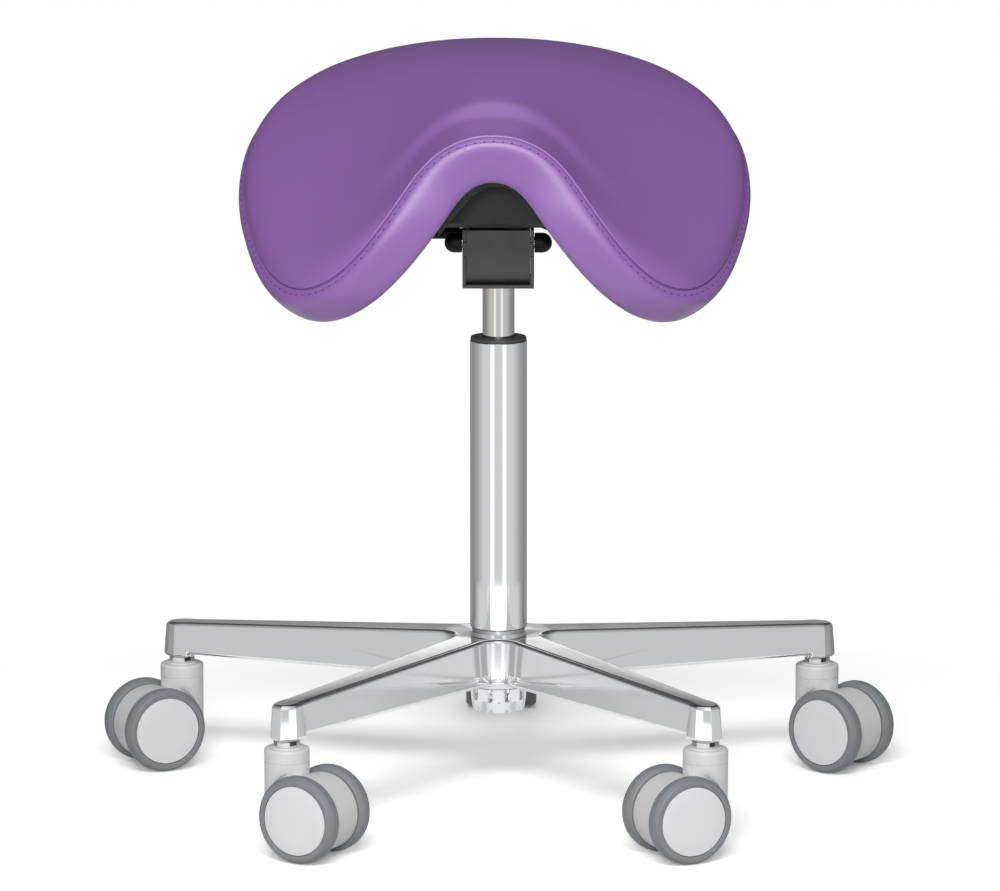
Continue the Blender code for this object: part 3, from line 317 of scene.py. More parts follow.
def build_uneven_finish():
    """Slow changes of colour and gloss over a surface, as from handling and polishing."""
    group, start, end = new_effect(
        "uneven_finish",
        [("Patch size", "value", 0.05), ("Colour", "colour", None), ("Other colour", "colour", None),
         ("Least roughness", "value", 0.2), ("Most roughness", "value", 0.3)],
        [("Colour", "colour"), ("Roughness", "value")],
    )
    scale = group.nodes.new("ShaderNodeMath")
    scale.operation = "DIVIDE"
    scale.inputs[0].default_value = 1.0
    noise = group.nodes.new("ShaderNodeTexNoise")
    noise.inputs["Detail"].default_value = 4.0
    mix = group.nodes.new("ShaderNodeMix")
    mix.data_type = "RGBA"
    span = group.nodes.new("ShaderNodeMapRange")
    span.inputs["From Min"].default_value = 0.3
    span.inputs["From Max"].default_value = 0.7
    group.links.new(start.outputs["Patch size"], scale.inputs[1])
    group.links.new(object_space(group), noise.inputs["Vector"])
    group.links.new(scale.outputs[0], noise.inputs["Scale"])
    group.links.new(noise.outputs["Fac"], mix.inputs["Factor"])
    group.links.new(start.outputs["Colour"], mix.inputs["A"])
    group.links.new(start.outputs["Other colour"], mix.inputs["B"])
    group.links.new(noise.outputs["Fac"], span.inputs["Value"])
    group.links.new(start.outputs["Least roughness"], span.inputs["To Min"])
    group.links.new(start.outputs["Most roughness"], span.inputs["To Max"])
    group.links.new(mix.outputs["Result"], end.inputs["Colour"])
    group.links.new(span.outputs["Result"], end.inputs["Roughness"])
    return group


def build_drawn_lines():
    """Fine lines along one direction, as on ground or drawn metal, as a normal."""
    group, start, end = new_effect(
        "drawn_lines",
        [("Stretch", "vector", (900.0, 900.0, 8.0)), ("Depth", "value", 0.1)],
        [("Normal", "vector")],
    )
    stretch = group.nodes.new("ShaderNodeVectorMath")
    stretch.operation = "MULTIPLY"
    noise = group.nodes.new("ShaderNodeTexNoise")
    noise.inputs["Scale"].default_value = 1.0
    noise.inputs["Detail"].default_value = 3.0
    bump = group.nodes.new("ShaderNodeBump")
    bump.inputs["Distance"].default_value = 0.0002
    group.links.new(object_space(group), stretch.inputs[0])
    group.links.new(start.outputs["Stretch"], stretch.inputs[1])
    group.links.new(stretch.outputs[0], noise.inputs["Vector"])
    group.links.new(noise.outputs["Fac"], bump.inputs["Height"])
    group.links.new(start.outputs["Depth"], bump.inputs["Strength"])
    group.links.new(bump.outputs["Normal"], end.inputs["Normal"])
    return group


def build_leather_grain():
    """Small leather cells with creases between them, as a normal."""
    group, start, end = new_effect(
        "leather_grain",
        [("Cell size", "value", 0.0012), ("Depth", "value", 0.2)],
        [("Normal", "vector")],
    )
    scale = group.nodes.new("ShaderNodeMath")
    scale.operation = "DIVIDE"
    scale.inputs[0].default_value = 1.0
    cells = group.nodes.new("ShaderNodeTexVoronoi")
    cells.feature = "DISTANCE_TO_EDGE"
    span = group.nodes.new("ShaderNodeMapRange")
    span.inputs["From Max"].default_value = 0.25
    noise = group.nodes.new("ShaderNodeTexNoise")
    noise.inputs["Scale"].default_value = 60.0
    noise.inputs["Detail"].default_value = 3.0
    bump = group.nodes.new("ShaderNodeBump")
    bump.inputs["Distance"].default_value = 0.00025
    soft = group.nodes.new("ShaderNodeBump")
    soft.inputs["Distance"].default_value = 0.0008
    soft.inputs["Strength"].default_value = 0.10
    space = object_space(group)
    group.links.new(start.outputs["Cell size"], scale.inputs[1])
    group.links.new(space, cells.inputs["Vector"])
    group.links.new(scale.outputs[0], cells.inputs["Scale"])
    group.links.new(cells.outputs["Distance"], span.inputs["Value"])
    group.links.new(space, noise.inputs["Vector"])
    group.links.new(noise.outputs["Fac"], soft.inputs["Height"])
    group.links.new(soft.outputs["Normal"], bump.inputs["Normal"])
    group.links.new(span.outputs["Result"], bump.inputs["Height"])
    group.links.new(start.outputs["Depth"], bump.inputs["Strength"])
    group.links.new(bump.outputs["Normal"], end.inputs["Normal"])
    return group


surface_texture = build_surface_texture()
uneven_finish = build_uneven_finish()
drawn_lines = build_drawn_lines()
leather_grain = build_leather_grain()


# Finishes

def finish_of(name, colour, other_colour, least_roughness, most_roughness, metallic=0.0,
              patch=0.05, grain=None, depth=0.0, lines=None, ior=1.5):
    """A finish with slow colour and gloss changes, and either a fine texture or drawn lines."""
    shader = Shader(name, colour, least_roughness, metallic)
    shader.set("IOR", ior)
    uneven = shader.effect(uneven_finish, patch_size=patch, colour=colour, other_colour=other_colour,
                           least_roughness=least_roughness, most_roughness=most_roughness)
    shader.feed("Base Color", uneven.outputs["Colour"])
    shader.feed("Roughness", uneven.outputs["Roughness"])
    if grain:
        texture = shader.effect(surface_texture, grain_size=grain, depth=depth)
        shader.feed("Normal", texture.outputs["Normal"])
    if lines:
        texture = shader.effect(drawn_lines, stretch=lines, depth=depth)
        shader.feed("Normal", texture.outputs["Normal"])
    return shader


def darker(colour, share):
    return tuple(value * share for value in colour[:3]) + (1.0,)


def purple_leather_material():
    shader = finish_of("purple_leather", leather_purple, leather_deep, 0.32, 0.38, patch=0.12, ior=1.6)
    grain = shader.effect(leather_grain, cell_size=0.0011, depth=0.14)
    shader.feed("Normal", grain.outputs["Normal"])
    return shader.material


purple_leather = purple_leather_material()
stitch_thread = finish_of("stitch_thread", stitch_purple, darker(stitch_purple, 0.8), 0.5, 0.6,
                          patch=0.004, grain=0.0004, depth=0.4).material
# Painted shade for the needle holes: dark lumps on the leather instead of real recesses.
painted_hole_shade = finish_of("painted_hole_shade", painted_hole_shade_purple, darker(painted_hole_shade_purple, 0.7), 0.7, 0.8,
                        patch=0.01, grain=0.0004, depth=0.2).material
polished_aluminium = finish_of("polished_aluminium", aluminium_colour, darker(aluminium_colour, 0.93),
                               0.08, 0.14, metallic=1.0, patch=0.03, grain=0.02, depth=0.04).material
chromed_column = finish_of("chromed_column", column_colour, darker(column_colour, 0.96), 0.05, 0.08,
                           metallic=1.0, patch=0.05, lines=(700.0, 700.0, 6.0), depth=0.02).material
ground_steel = finish_of("ground_steel", steel_colour, darker(steel_colour, 0.94), 0.05, 0.09,
                         metallic=1.0, patch=0.03, lines=(1500.0, 1500.0, 20.0), depth=0.02).material
bright_steel = finish_of("bright_steel", bright_steel_colour, darker(bright_steel_colour, 0.9), 0.18, 0.28,
                         metallic=1.0, patch=0.02, grain=0.002, depth=0.03).material
dark_coat = finish_of("dark_coat", coat_grey, darker(coat_grey, 0.85), 0.42, 0.55,
                      patch=0.02, grain=0.0006, depth=0.35, ior=1.4).material
block_plastic = finish_of("block_plastic", block_black, darker(block_black, 0.85), 0.48, 0.60,
                          patch=0.04, grain=0.0008, depth=0.25, ior=1.35).material
cap_plastic = finish_of("cap_plastic", cap_black, darker(cap_black, 0.7), 0.45, 0.6,
                        patch=0.01, grain=0.0008, depth=0.25, ior=1.28).material
housing_plastic = finish_of("housing_plastic", housing_grey, darker(housing_grey, 0.96), 0.38, 0.48,
                            patch=0.03, grain=0.0010, depth=0.08).material
wheel_plastic = finish_of("wheel_plastic", wheel_face_grey, darker(wheel_face_grey, 0.96), 0.40, 0.50,
                          patch=0.03, grain=0.0010, depth=0.08).material
tyre_rubber = finish_of("tyre_rubber", tyre_grey, darker(tyre_grey, 0.94), 0.48, 0.60,
                        patch=0.015, grain=0.0008, depth=0.15).material


# Star base

arm_count = 5
arm_half_angle = math.pi / arm_count
stem_circle_radius = 0.3000
arm_top_at_hub = 0.1415
arm_top_at_tip = 0.1302
arm_underside_at_hub = 0.1003
arm_underside_at_tip = 0.1018
tip_boss_foot_height = 0.0985
hub_foot_height = 0.0930
hub_boss_radius = 0.0280
arm_root_radius = 0.0450
arm_half_width_at_root = 0.0180
arm_half_width_at_tip = 0.0108
arm_draft_share = 0.075
arm_notch_radius = 0.0190
arm_notch_steps = 19
arm_edge_radius = 0.0036
arm_facet_radius = 0.0006
arm_wall = 0.0040
arm_roof = 0.0052
arm_rib = 0.0060
arm_rib_radius = 0.1560
tip_reach = 0.0135
skirt_flare = 0.0022
skirt_height_at_hub = 0.1048
skirt_height_at_end = 0.1250
skirt_end_radius = 0.1700
column_root_radius = 0.0238
column_foot_radius = 0.0206
column_foot_height = 0.0760
column_neck_height = 0.1450
stem_radius = 0.0055
stem_socket_top_height = 0.1220
pocket_start_radius = 0.0348
pocket_end_gap = 0.0162
socket_gap = 0.0003
overrun = 0.0040
arm_taper = (arm_half_width_at_root - arm_half_width_at_tip) / (stem_circle_radius - arm_root_radius)

# Half of an arm's end in plan, as distance from the column and half width
tip_corners = [
    (stem_circle_radius - 0.0120, 0.0111),
    (stem_circle_radius - 0.0060, 0.0122),
    (stem_circle_radius + 0.0024, 0.0122),
    (stem_circle_radius + 0.0087, 0.0094),
    (stem_circle_radius + tip_reach, 0.0045),
]


def arm_lean(height):
    return arm_draft_share * ((arm_top_at_hub + arm_underside_at_hub) / 2 - height)


def arm_half_width(radius, height):
    return arm_half_width_at_root - arm_taper * (radius - arm_root_radius) + arm_lean(height)


def along_arm(radius, at_hub, at_tip):
    share = (radius - arm_root_radius) / (stem_circle_radius - arm_root_radius)
    return at_hub + share * (at_tip - at_hub)


def polar_point(angle, along, across, height):
    return (
        along * math.cos(angle) - across * math.sin(angle),
        along * math.sin(angle) + across * math.cos(angle),
        height,
    )


def star_plan():
    """Plan of the base at half its height, anticlockwise, with rounded notches and arm ends."""
    run = math.hypot(1.0, arm_taper)
    width_on_axis = arm_half_width_at_root + arm_taper * arm_root_radius
    notch_centre = (arm_notch_radius * run + width_on_axis) / (
        math.sin(arm_half_angle) + arm_taper * math.cos(arm_half_angle))
    side_angle = math.pi / 2 + math.atan(arm_taper)
    sweep = math.tau * (arm_count - 1) / arm_count - 2 * side_angle
    middle = (arm_top_at_hub + arm_underside_at_hub) / 2
    side_radii = (0.110, skirt_end_radius, 0.230)
    half = [(radius, arm_half_width(radius, middle)) for radius in side_radii] + tip_corners
    arm_end = [(along, -across) for along, across in half]
    arm_end += [(along, across) for along, across in reversed(half)]
    plan = []
    for index in range(arm_count):
        angle = math.pi / 2 + index * 2 * arm_half_angle
        for along, across in arm_end:
            plan.append(Vector(polar_point(angle, along, across, 0.0)))
        bisector = angle + arm_half_angle
        for step in range(arm_notch_steps + 1):
            turn = angle - side_angle - sweep * step / arm_notch_steps
            plan.append(Vector((
                notch_centre * math.cos(bisector) + arm_notch_radius * math.cos(turn),
                notch_centre * math.sin(bisector) + arm_notch_radius * math.sin(turn),
                0.0,
            )))
    return plan


def outward_steps(plan):
    steps = []
    for index, point in enumerate(plan):
        before = (point - plan[index - 1]).normalized()
        after = (plan[(index + 1) % len(plan)] - point).normalized()
        first = Vector((before.y, -before.x, 0.0))
        second = Vector((after.y, -after.x, 0.0))
        steps.append((first + second) / (1 + first.dot(second)))
    return steps


def skirt_share(radius):
    share = (skirt_end_radius - radius) / (skirt_end_radius - arm_root_radius)
    return max(0.0, min(1.0, share))


def skirt_height(radius):
    return skirt_height_at_end - (skirt_height_at_end - skirt_height_at_hub) * skirt_share(radius)


def star_ring(plan, steps, height_at, flare):
    ring = []
    for point, step in zip(plan, steps):
        height = height_at(point.length)
        offset = arm_lean(height) + flare * skirt_share(point.length)
        ring.append((point.x + step.x * offset, point.y + step.y * offset, height))
    return ring


def column_taper(height):
    share = (height - column_foot_height) / (arm_top_at_hub - column_foot_height)
    return column_foot_radius + share * (column_root_radius - column_foot_radius)


def arm_pocket(name, angle, start, end):
    """A hollow under an arm, one wall inside its sides."""
    rings = []
    for level, side_height, inset in (
        (arm_underside_at_hub - overrun, arm_underside_at_hub, 0.0),
        (None, arm_top_at_hub, 0.0022),
    ):
        first, last = start + inset, end - inset
        first_half = arm_half_width(first, side_height) - arm_wall
        last_half = arm_half_width(last, side_height) - arm_wall
        plan = rounded([
            (first + 0.010, -first_half, 0.0), (last, -last_half, 0.004), (last, last_half, 0.004),
            (first, first_half, 0.004), (first, -first_half, 0.004), (first + 0.010, -first_half, 0.0),
        ], 3)[:-1]
        ring = []
        for along, across in plan:
            height = level if level else along_arm(along, arm_top_at_hub, arm_top_at_tip) - arm_roof
            ring.append(polar_point(angle, along, across, height))
        rings.append(ring)
    return new_piece(name, loft_mesh(name, rings), column_place)


def star_casting():
    low = arm_underside_at_hub - overrun
    high = arm_top_at_hub + overrun
    plan = star_plan()
    steps = outward_steps(plan)
    rings = [
        star_ring(plan, steps, lambda radius: low, skirt_flare),
        star_ring(plan, steps, lambda radius: skirt_height(radius) - 0.0012, skirt_flare * 0.85),
        star_ring(plan, steps, lambda radius: skirt_height(radius) + 0.0004, skirt_flare * 0.30),
        star_ring(plan, steps, lambda radius: skirt_height(radius) + 0.0022, 0.0),
        star_ring(plan, steps, lambda radius: high, 0.0),
    ]
    casting = new_piece("star_casting", loft_mesh("star_casting", rings, 25.0), column_place)

    corner = 1 / math.cos(arm_half_angle)
    end = stem_circle_radius + tip_reach + overrun
    boss_start = tip_corners[0][0]
    tip_top = along_arm(end, arm_top_at_hub, arm_top_at_tip)
    boss_start_foot = along_arm(boss_start, arm_underside_at_hub, arm_underside_at_tip)
    slopes = turned_piece("arm_slopes", [
        (0.0, arm_top_at_hub),
        (arm_root_radius * corner, arm_top_at_hub),
        (end * corner, tip_top),
        (end * corner, tip_boss_foot_height),
        (boss_start * corner, tip_boss_foot_height),
        (boss_start * corner, boss_start_foot),
        (arm_root_radius * corner, arm_underside_at_hub),
        (0.0, arm_underside_at_hub),
    ], arm_count, column_place)
    slopes.rotation_euler = (0.0, 0.0, math.pi / 2 + arm_half_angle)
    cut(casting, slopes, "INTERSECT")
    boss_top = arm_underside_at_hub + arm_edge_radius
    boss = turned_piece("hub_boss", [
        (0.0, boss_top), (hub_boss_radius, boss_top), (hub_boss_radius, hub_foot_height),
        (0.0, hub_foot_height),
    ], 96, column_place)
    cut(casting, boss, "UNION")

    # Flat faces are made whole first, so that every edge takes its full rounding
    whole_faces = casting.modifiers.new("whole_faces", "DECIMATE")
    whole_faces.decimate_type = "DISSOLVE"
    whole_faces.angle_limit = math.radians(0.4)
    round_edges(casting, arm_edge_radius, 5, 50.0).use_clamp_overlap = False
    round_edges(casting, arm_facet_radius, 2, 20.0).use_clamp_overlap = False

    cutters = [slopes, boss]
    seat_foot = hub_foot_height - overrun
    cutters.append(turned_piece("hub_seat", [
        (0.0, high), (column_taper(high) + socket_gap, high),
        (column_taper(seat_foot) + socket_gap, seat_foot), (0.0, seat_foot),
    ], 96, column_place))
    spans = [
        (pocket_start_radius, arm_rib_radius - arm_rib / 2),
        (arm_rib_radius + arm_rib / 2, stem_circle_radius - pocket_end_gap),
    ]
    for index in range(arm_count):
        angle = math.pi / 2 + index * 2 * arm_half_angle
        for number, (start, stop) in enumerate(spans):
            cutters.append(arm_pocket(f"arm_pocket_{index}_{number}", angle, start, stop))
        cutters.append(turned_piece(f"stem_socket_{index}", [
            (0.0, stem_socket_top_height), (stem_radius + socket_gap, stem_socket_top_height),
            (stem_radius + socket_gap, seat_foot), (0.0, seat_foot),
        ], 24, column_place + Vector(polar_point(angle, stem_circle_radius, 0.0, 0.0))))
    for cutter in cutters[2:]:
        cut(casting, cutter)
    baked(casting)
    remove_all(cutters)
    return dressed(casting, polished_aluminium, "base", ["star_base"])


# Column and gas spring

def hub_collar_piece():
    """The collar under the hub, with slots round its rim and a small dimple between them."""
    top = hub_foot_height - 0.0003
    foot = 0.0712
    profile = rounded([
        (column_taper(top) + 0.0004, top, 0.0),
        (0.0246, top, 0.0006),
        (0.0241, 0.0810, 0.0100),
        (0.0226, foot, 0.0013),
        (column_taper(column_foot_height) + 0.0004, foot, 0.0),
        (column_taper(column_foot_height) + 0.0004, column_foot_height, 0.0),
    ], 6)
    collar = turned_piece("hub_collar_ring", profile, 120, column_place, closed=True)
    shape = bmesh.new()
    for index in range(10):
        turn = Matrix.Rotation(math.radians(2.0) + index * math.tau / 10, 4, "Z")
        for height, size in ((top, (0.0030, 0.0030, 0.0104)), (foot, (0.0036, 0.0028, 0.0060))):
            place = Matrix.Translation((0.0246 if height == top else 0.0226, 0.0, height))
            bmesh.ops.create_cube(shape, size=1.0, matrix=turn @ place @ Matrix.Diagonal((*size, 1.0)))
        half_turn = Matrix.Rotation(math.radians(20.0) + index * math.tau / 10, 4, "Z")
        place = half_turn @ Matrix.Translation((0.0242, 0.0, 0.0805))
        bmesh.ops.create_icosphere(shape, subdivisions=2, radius=0.0011, matrix=place)
    slots = new_piece("collar_slots", shaded_mesh("collar_slots", shape), column_place)
    cut(collar, slots)
    baked(collar)
    remove_all([slots])
    return dressed(collar, polished_aluminium, "base", ["hub_collar"])


def column_piece():
    neck_height = column_neck_height
    neck = column_taper(neck_height)
    profile = rounded([
        (0.0236, 0.4005, 0.0), (0.0250, 0.4005, 0.0005), (0.0250, neck_height + 0.0009, 0.0004),
        (neck, neck_height, 0.0002),
        (column_foot_radius, column_foot_height, 0.0), (0.0053, column_foot_height, 0.0),
        (0.0053, column_foot_height + 0.003, 0.0), (0.0190, column_foot_height + 0.003, 0.0),
        (neck - 0.0013, neck_height, 0.0), (0.0234, neck_height + 0.0050, 0.0), (0.0234, 0.3995, 0.0),
    ], 4)
    tube = turned_piece("column_sleeve", profile, 128, column_place, closed=True)
    return dressed(baked(tube), chromed_column, "base", ["column_tube"])


def bush_piece():
    """The black guide bush in the column's mouth, with a lip and a shallow ring on top."""
    profile = rounded([
        (0.01445, 0.4030, 0.0), (0.0150, 0.4037, 0.0004), (0.0195, 0.4037, 0.0003), (0.0197, 0.4030, 0.0002),
        (0.0222, 0.4030, 0.0002), (0.0225, 0.4037, 0.0003), (0.0245, 0.4037, 0.0009), (0.0245, 0.4008, 0.0),
        (0.0231, 0.4008, 0.0), (0.0231, 0.3205, 0.0), (0.01445, 0.3205, 0.0),
    ], 4)
    bush = turned_piece("column_bush", profile, 96, column_place, closed=True)
    return dressed(baked(bush), dark_coat, "base", ["guide_bush"])


def gas_cylinder_piece():
    low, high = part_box("gas_cylinder")
    profile = rounded([
        (0.0, high.z, 0.0), (0.0130, high.z, 0.0006), (0.0140, 0.4500, 0.004), (0.0140, low.z, 0.0008),
        (0.0122, low.z, 0.0), (0.0122, low.z + 0.200, 0.0), (0.0, low.z + 0.200, 0.0),
    ], 4)
    cylinder = turned_piece("gas_spring_cylinder", profile, 96, column_place)
    return dressed(baked(cylinder), ground_steel, "lift", ["gas_cylinder"])


# Tilt mechanism

def across_x(across, up, depth):
    """Maps an outline in Y and Z, with its depth along X."""
    return (depth, across, up)


def mechanism_channel():
    """The bent steel channel that carries the seat, with its floor lip and tab slots."""
    outline = [
        (-0.0372, 0.4513), (0.0372, 0.4513), (0.0372, 0.4541), (0.0360, 0.4543), (0.0360, 0.4970),
        (-0.0080, 0.5020), (-0.0360, 0.5020), (-0.0360, 0.4916), (-0.0327, 0.4910), (-0.0327, 0.4793),
        (-0.0360, 0.4787), (-0.0360, 0.4543), (-0.0372, 0.4541),
    ]
    mesh = slab_mesh("mechanism_channel", outline, -0.0310, 0.0310, across_x)
    channel = new_piece("mechanism_channel", mesh, column_place)
    cutters = [
        box_piece("channel_inside", (-0.0280, -0.0500, 0.4543), (0.0280, 0.0500, 0.5100), column_place),
        turned_piece("cylinder_hole", [
            (0.0, 0.4600), (0.0143, 0.4600), (0.0143, 0.4450), (0.0, 0.4450)], 48, column_place),
        box_piece("lever_slot", (-0.0350, -0.0043, 0.4907), (-0.0250, 0.0043, 0.5060), column_place),
        box_piece("lock_slot", (0.0250, -0.0023, 0.4997), (0.0350, 0.0023, 0.5060), column_place),
    ]
    hole = turned_piece("pivot_hole", [
        (0.0, 0.05), (0.0053, 0.05), (0.0053, -0.05), (0.0, -0.05)], 32,
        column_place + Vector((0.0, -seat_pivot_forward, seat_pivot_height)))
    hole.rotation_euler = (0.0, math.pi / 2, 0.0)
    cutters.append(hole)
    for cutter in cutters:
        cut(channel, cutter)
    round_edges(channel, 0.0006, 2, 40.0)
    baked(channel)
    remove_all(cutters)
    return dressed(channel, dark_coat, "lift", ["mechanism_box"])


def front_plate_piece():
    """The front plate: bent back at its foot, with a tab through each side of the channel."""
    outside = -0.0360
    thickness = 0.0030
    path = rounded([
        (outside, 0.5020, 0.0), (outside, 0.4547, 0.0095), (-0.0200, 0.4547, 0.0),
    ], 8)
    inner = rounded([
        (outside + thickness, 0.5020, 0.0), (outside + thickness, 0.4547 + thickness, 0.0065),
        (-0.0200, 0.4547 + thickness, 0.0),
    ], 8)
    outline = path + list(reversed(inner))
    mesh = slab_mesh("front_cover", outline, -0.0279, 0.0279, across_x)
    cover = new_piece("front_cover", mesh, column_place)
    tabs = box_piece("front_tabs", (-0.0310, outside, 0.4790), (0.0310, outside + thickness, 0.4913),
                     column_place)
    cut(cover, tabs, "UNION")
    round_edges(cover, 0.0005, 2, 40.0)
    baked(cover)
    remove_all([tabs])
    return dressed(cover, dark_coat, "lift", ["front_plate"])


def seat_block_piece():
    """The moulded block under the pan, relieved at its front foot so that it clears the channel."""
    block = new_piece("moulded_block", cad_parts["seat_block"].data.copy())
    low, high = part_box("seat_block")
    relief = new_piece("block_relief", slab_mesh("block_relief", [
        (low.y - 0.0100, low.z - 0.0100), (low.y + 0.0260, low.z - 0.0100), (low.y + 0.0260, low.z + 0.0002),
        (low.y - 0.0100, low.z + 0.0098),
    ], low.x - 0.0100, high.x + 0.0100, across_x))
    cut(block, relief)
    round_edges(block, 0.0010, 2, 40.0)
    baked(block)
    remove_all([relief])
    return dressed(block, block_plastic, "seat", ["seat_block"])


def seat_pan_piece():
    """The moulded shell under the pad, cut back at its front corners so that it stays behind the cover."""
    pan = new_piece("moulded_pan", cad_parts["seat_pan"].data.copy())
    low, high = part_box("seat_pan")
    front = column_place.y - 0.0600
    cutters = []
    for side in (-1, 1):
        edge = column_place.x + side * pan_front_half_width
        outer = edge + side * 0.3000
        cutters.append(box_piece(
            "pan_corner", (min(edge, outer), low.y - 0.0100, low.z - 0.0100),
            (max(edge, outer), front, high.z + 0.0100)))
    for cutter in cutters:
        cut(pan, cutter)
    baked(pan)
    remove_all(cutters)
    return dressed(pan, block_plastic, "seat", ["seat_pan"])


def pivot_cap_piece(name, side, node):
    profile = rounded([
        (0.0, 0.0156, 0.0), (0.0087, 0.0156, 0.0084), (0.0087, 0.0010, 0.0), (0.0080, 0.0004, 0.0),
        (0.0053, 0.0004, 0.0), (0.0053, 0.0100, 0.0), (0.0, 0.0100, 0.0),
    ], 12)
    cap = turned_piece(name, profile, 48,
                       column_place + Vector((side * 0.0310, -seat_pivot_forward, seat_pivot_height)))
    cap.rotation_euler = (0.0, side * math.pi / 2, 0.0)
    return dressed(cap, cap_plastic, "lift", [node])


# Levers

def height_lever_piece():
    """The round handle on the left, with a waist at the channel and a rounded end."""
    profile = rounded([
        (0.0, 0.1180, 0.0), (0.0055, 0.1180, 0.0035), (0.0055, 0.0360, 0.0012), (0.0040, 0.0340, 0.0008),
        (0.0040, 0.0262, 0.0), (0.0, 0.0262, 0.0),
    ], 6)
    handle = turned_piece("height_handle_bar", profile, 40, column_place + Vector((0.0, 0.0, 0.4950)))
    handle.rotation_euler = (0.0, -math.pi / 2, 0.0)
    tongue = box_piece("handle_tongue", (-0.0290, -0.0040, 0.4978), (0.0046, 0.0040, 0.5003), column_place)
    cut(handle, tongue, "UNION")
    baked(handle)
    remove_all([tongue])
    return dressed(handle, cap_plastic, "height_handle", ["height_lever"])


# Saddle

pad_half_arc = 0.2565
pad_front_length = 0.1526
pad_rear_length = 0.1530
pad_forward_shift = 0.0198
pad_side_shift = -0.0034
pad_front_power = 2.50
pad_rear_power = 2.42
pad_thickness = 0.0504
pad_front_thickening = 0.0010
pad_rake_share = 0.204
ridge_heights = (0.5825, 0.6091, 0.6286, 0.6228)
flap_angles = (math.radians(58.2), math.radians(41.4), math.radians(41.2))
flap_runs = (0.0833, 0.1388, 0.5011)
flap_power = 1.145
flap_steps = 24
probe_step = 0.0010

# Points of the pad's section: share of the way out to its outline, and height above its middle sheet
top_height = 0.0257
top_rounding_start = 0.60
top_rounding_power = 13.0
seam_section = (0.9535, 0.0167)
side_section = [(0.990, 0.0116), (1.000, 0.0000), (0.990, -0.0185), (0.960, -0.0242), (0.900, -0.0233)]
pad_columns = 288
top_row_count = 30
underside_row_count = 22
fold_start_distance = 0.0100
underside_start_distance = 0.0105

# The step that the bend draws into the top panel, inside its front seam
step_share = 0.685
step_depth = 0.0062
step_width = 0.13
step_power = 2.2
step_half_turn = math.radians(54.0)


def blend_three(values, share):
    front, middle, rear = values
    return front * share * (share - 1) / 2 + middle * (1 - share * share) + rear * share * (share + 1) / 2


def ridge_height(share):
    third = 1 / 3
    weights = (
        -9 / 16 * (share + third) * (share - third) * (share - 1),
        27 / 16 * (share + 1) * (share - third) * (share - 1),
        -27 / 16 * (share + 1) * (share + third) * (share - 1),
        9 / 16 * (share + 1) * (share + third) * (share - third),
    )
    return sum(weight * height for weight, height in zip(weights, ridge_heights))


def run_share(along):
    """Place along the saddle, from -1 at its front to 1 at its rear, with no kink between its two lengths."""
    front, rear = pad_front_length, pad_rear_length
    return along * (front ** 2 + rear ** 2 + (front - rear) * along) / (front * rear * (front + rear))


def saddle_point(arc, along):
    """A point of the sheet halfway through the pad."""
    share = max(-1.0, min(1.0, run_share(along)))
    angle = blend_three(flap_angles, share)
    run = blend_three(flap_runs, share)
    across = 0.0
    drop = 0.0
    for step in range(flap_steps):
        out = abs(arc) * (step + 0.5) / flap_steps
        slope = angle * math.sin(min(out / run, 1.0) * math.pi / 2) ** flap_power
        across += math.cos(slope) * arc / flap_steps
        drop += math.sin(slope) * abs(arc) / flap_steps
    return Vector((across, along - pad_forward_shift - pad_rake_share * drop, ridge_height(share) - drop))


def pad_point(turn, reach_share, height):
    """A point of the pad, by its direction in plan, its share of the way out and its height."""
    across = math.cos(turn)
    back = math.sin(turn)
    power = pad_front_power if back < 0.0 else pad_rear_power
    length = pad_front_length if back < 0.0 else pad_rear_length
    reach = (abs(across) ** power + abs(back) ** power) ** (-1 / power)
    arc = pad_half_arc * across * reach * reach_share
    along = length * back * reach * reach_share
    if back < 0.0:
        height = height * (1 + pad_front_thickening / pad_thickness * (along / length) ** 2)
    place = saddle_point(arc, along)
    sideways = saddle_point(arc + probe_step, along) - place
    backwards = saddle_point(arc, along + probe_step) - place
    shift = Vector((pad_side_shift, 0.0, 0.0))
    return place + sideways.cross(backwards).normalized() * height + column_place + shift


def curve_through(points, count):
    """Points along a smooth curve through all the given points."""
    ends = [points[0] * 2 - points[1]] + points + [points[-1] * 2 - points[-2]]
    smooth = []
    for before, start, end, after in zip(ends, ends[1:], ends[2:], ends[3:]):
        for step in range(count):
            share = step / count
            smooth.append((
                start * 2 + (end - before) * share
                + (before * 2 - start * 5 + end * 4 - after) * share ** 2
                + (start * 3 - before - end * 3 + after) * share ** 3) / 2)
    smooth.append(points[-1])
    return smooth


def point_at(path, lengths, distance):
    for index in range(1, len(path)):
        if lengths[index] >= distance:
            span = lengths[index] - lengths[index - 1]
            share = (distance - lengths[index - 1]) / span if span > 0.0 else 0.0
            return path[index - 1].lerp(path[index], share)
    return path[-1].copy()


def running_lengths(path):
    lengths = [0.0]
    for first, second in zip(path, path[1:]):
        lengths.append(lengths[-1] + (second - first).length)
    return lengths


# Rows of points on both sides of the seam, by distance from it, and how far each stands out or in
fold_rows = [
    (-0.0080, 0.0000), (-0.0060, 0.0001), (-0.0045, 0.0002), (-0.0034, 0.0004), (-0.0026, 0.0006),
    (-0.0019, 0.0007), (-0.0013, 0.0006), (-0.0008, 0.0003), (-0.0004, -0.0004), (0.0000, -0.0012),
]
band_rows = [
    (0.0004, -0.0010), (0.0009, -0.0003), (0.0015, 0.0000), (0.0024, 0.0001), (0.0034, 0.0000),
    (0.0043, -0.0002), (0.0050, -0.0003), (0.0057, -0.0002), (0.0066, 0.0000), (0.0080, 0.0001),
]
seam_stitch_distance = 0.0052
stitch_pitch = 0.0078


def smooth_step(share):
    share = max(0.0, min(1.0, share))
    return share * share * (3 - 2 * share)


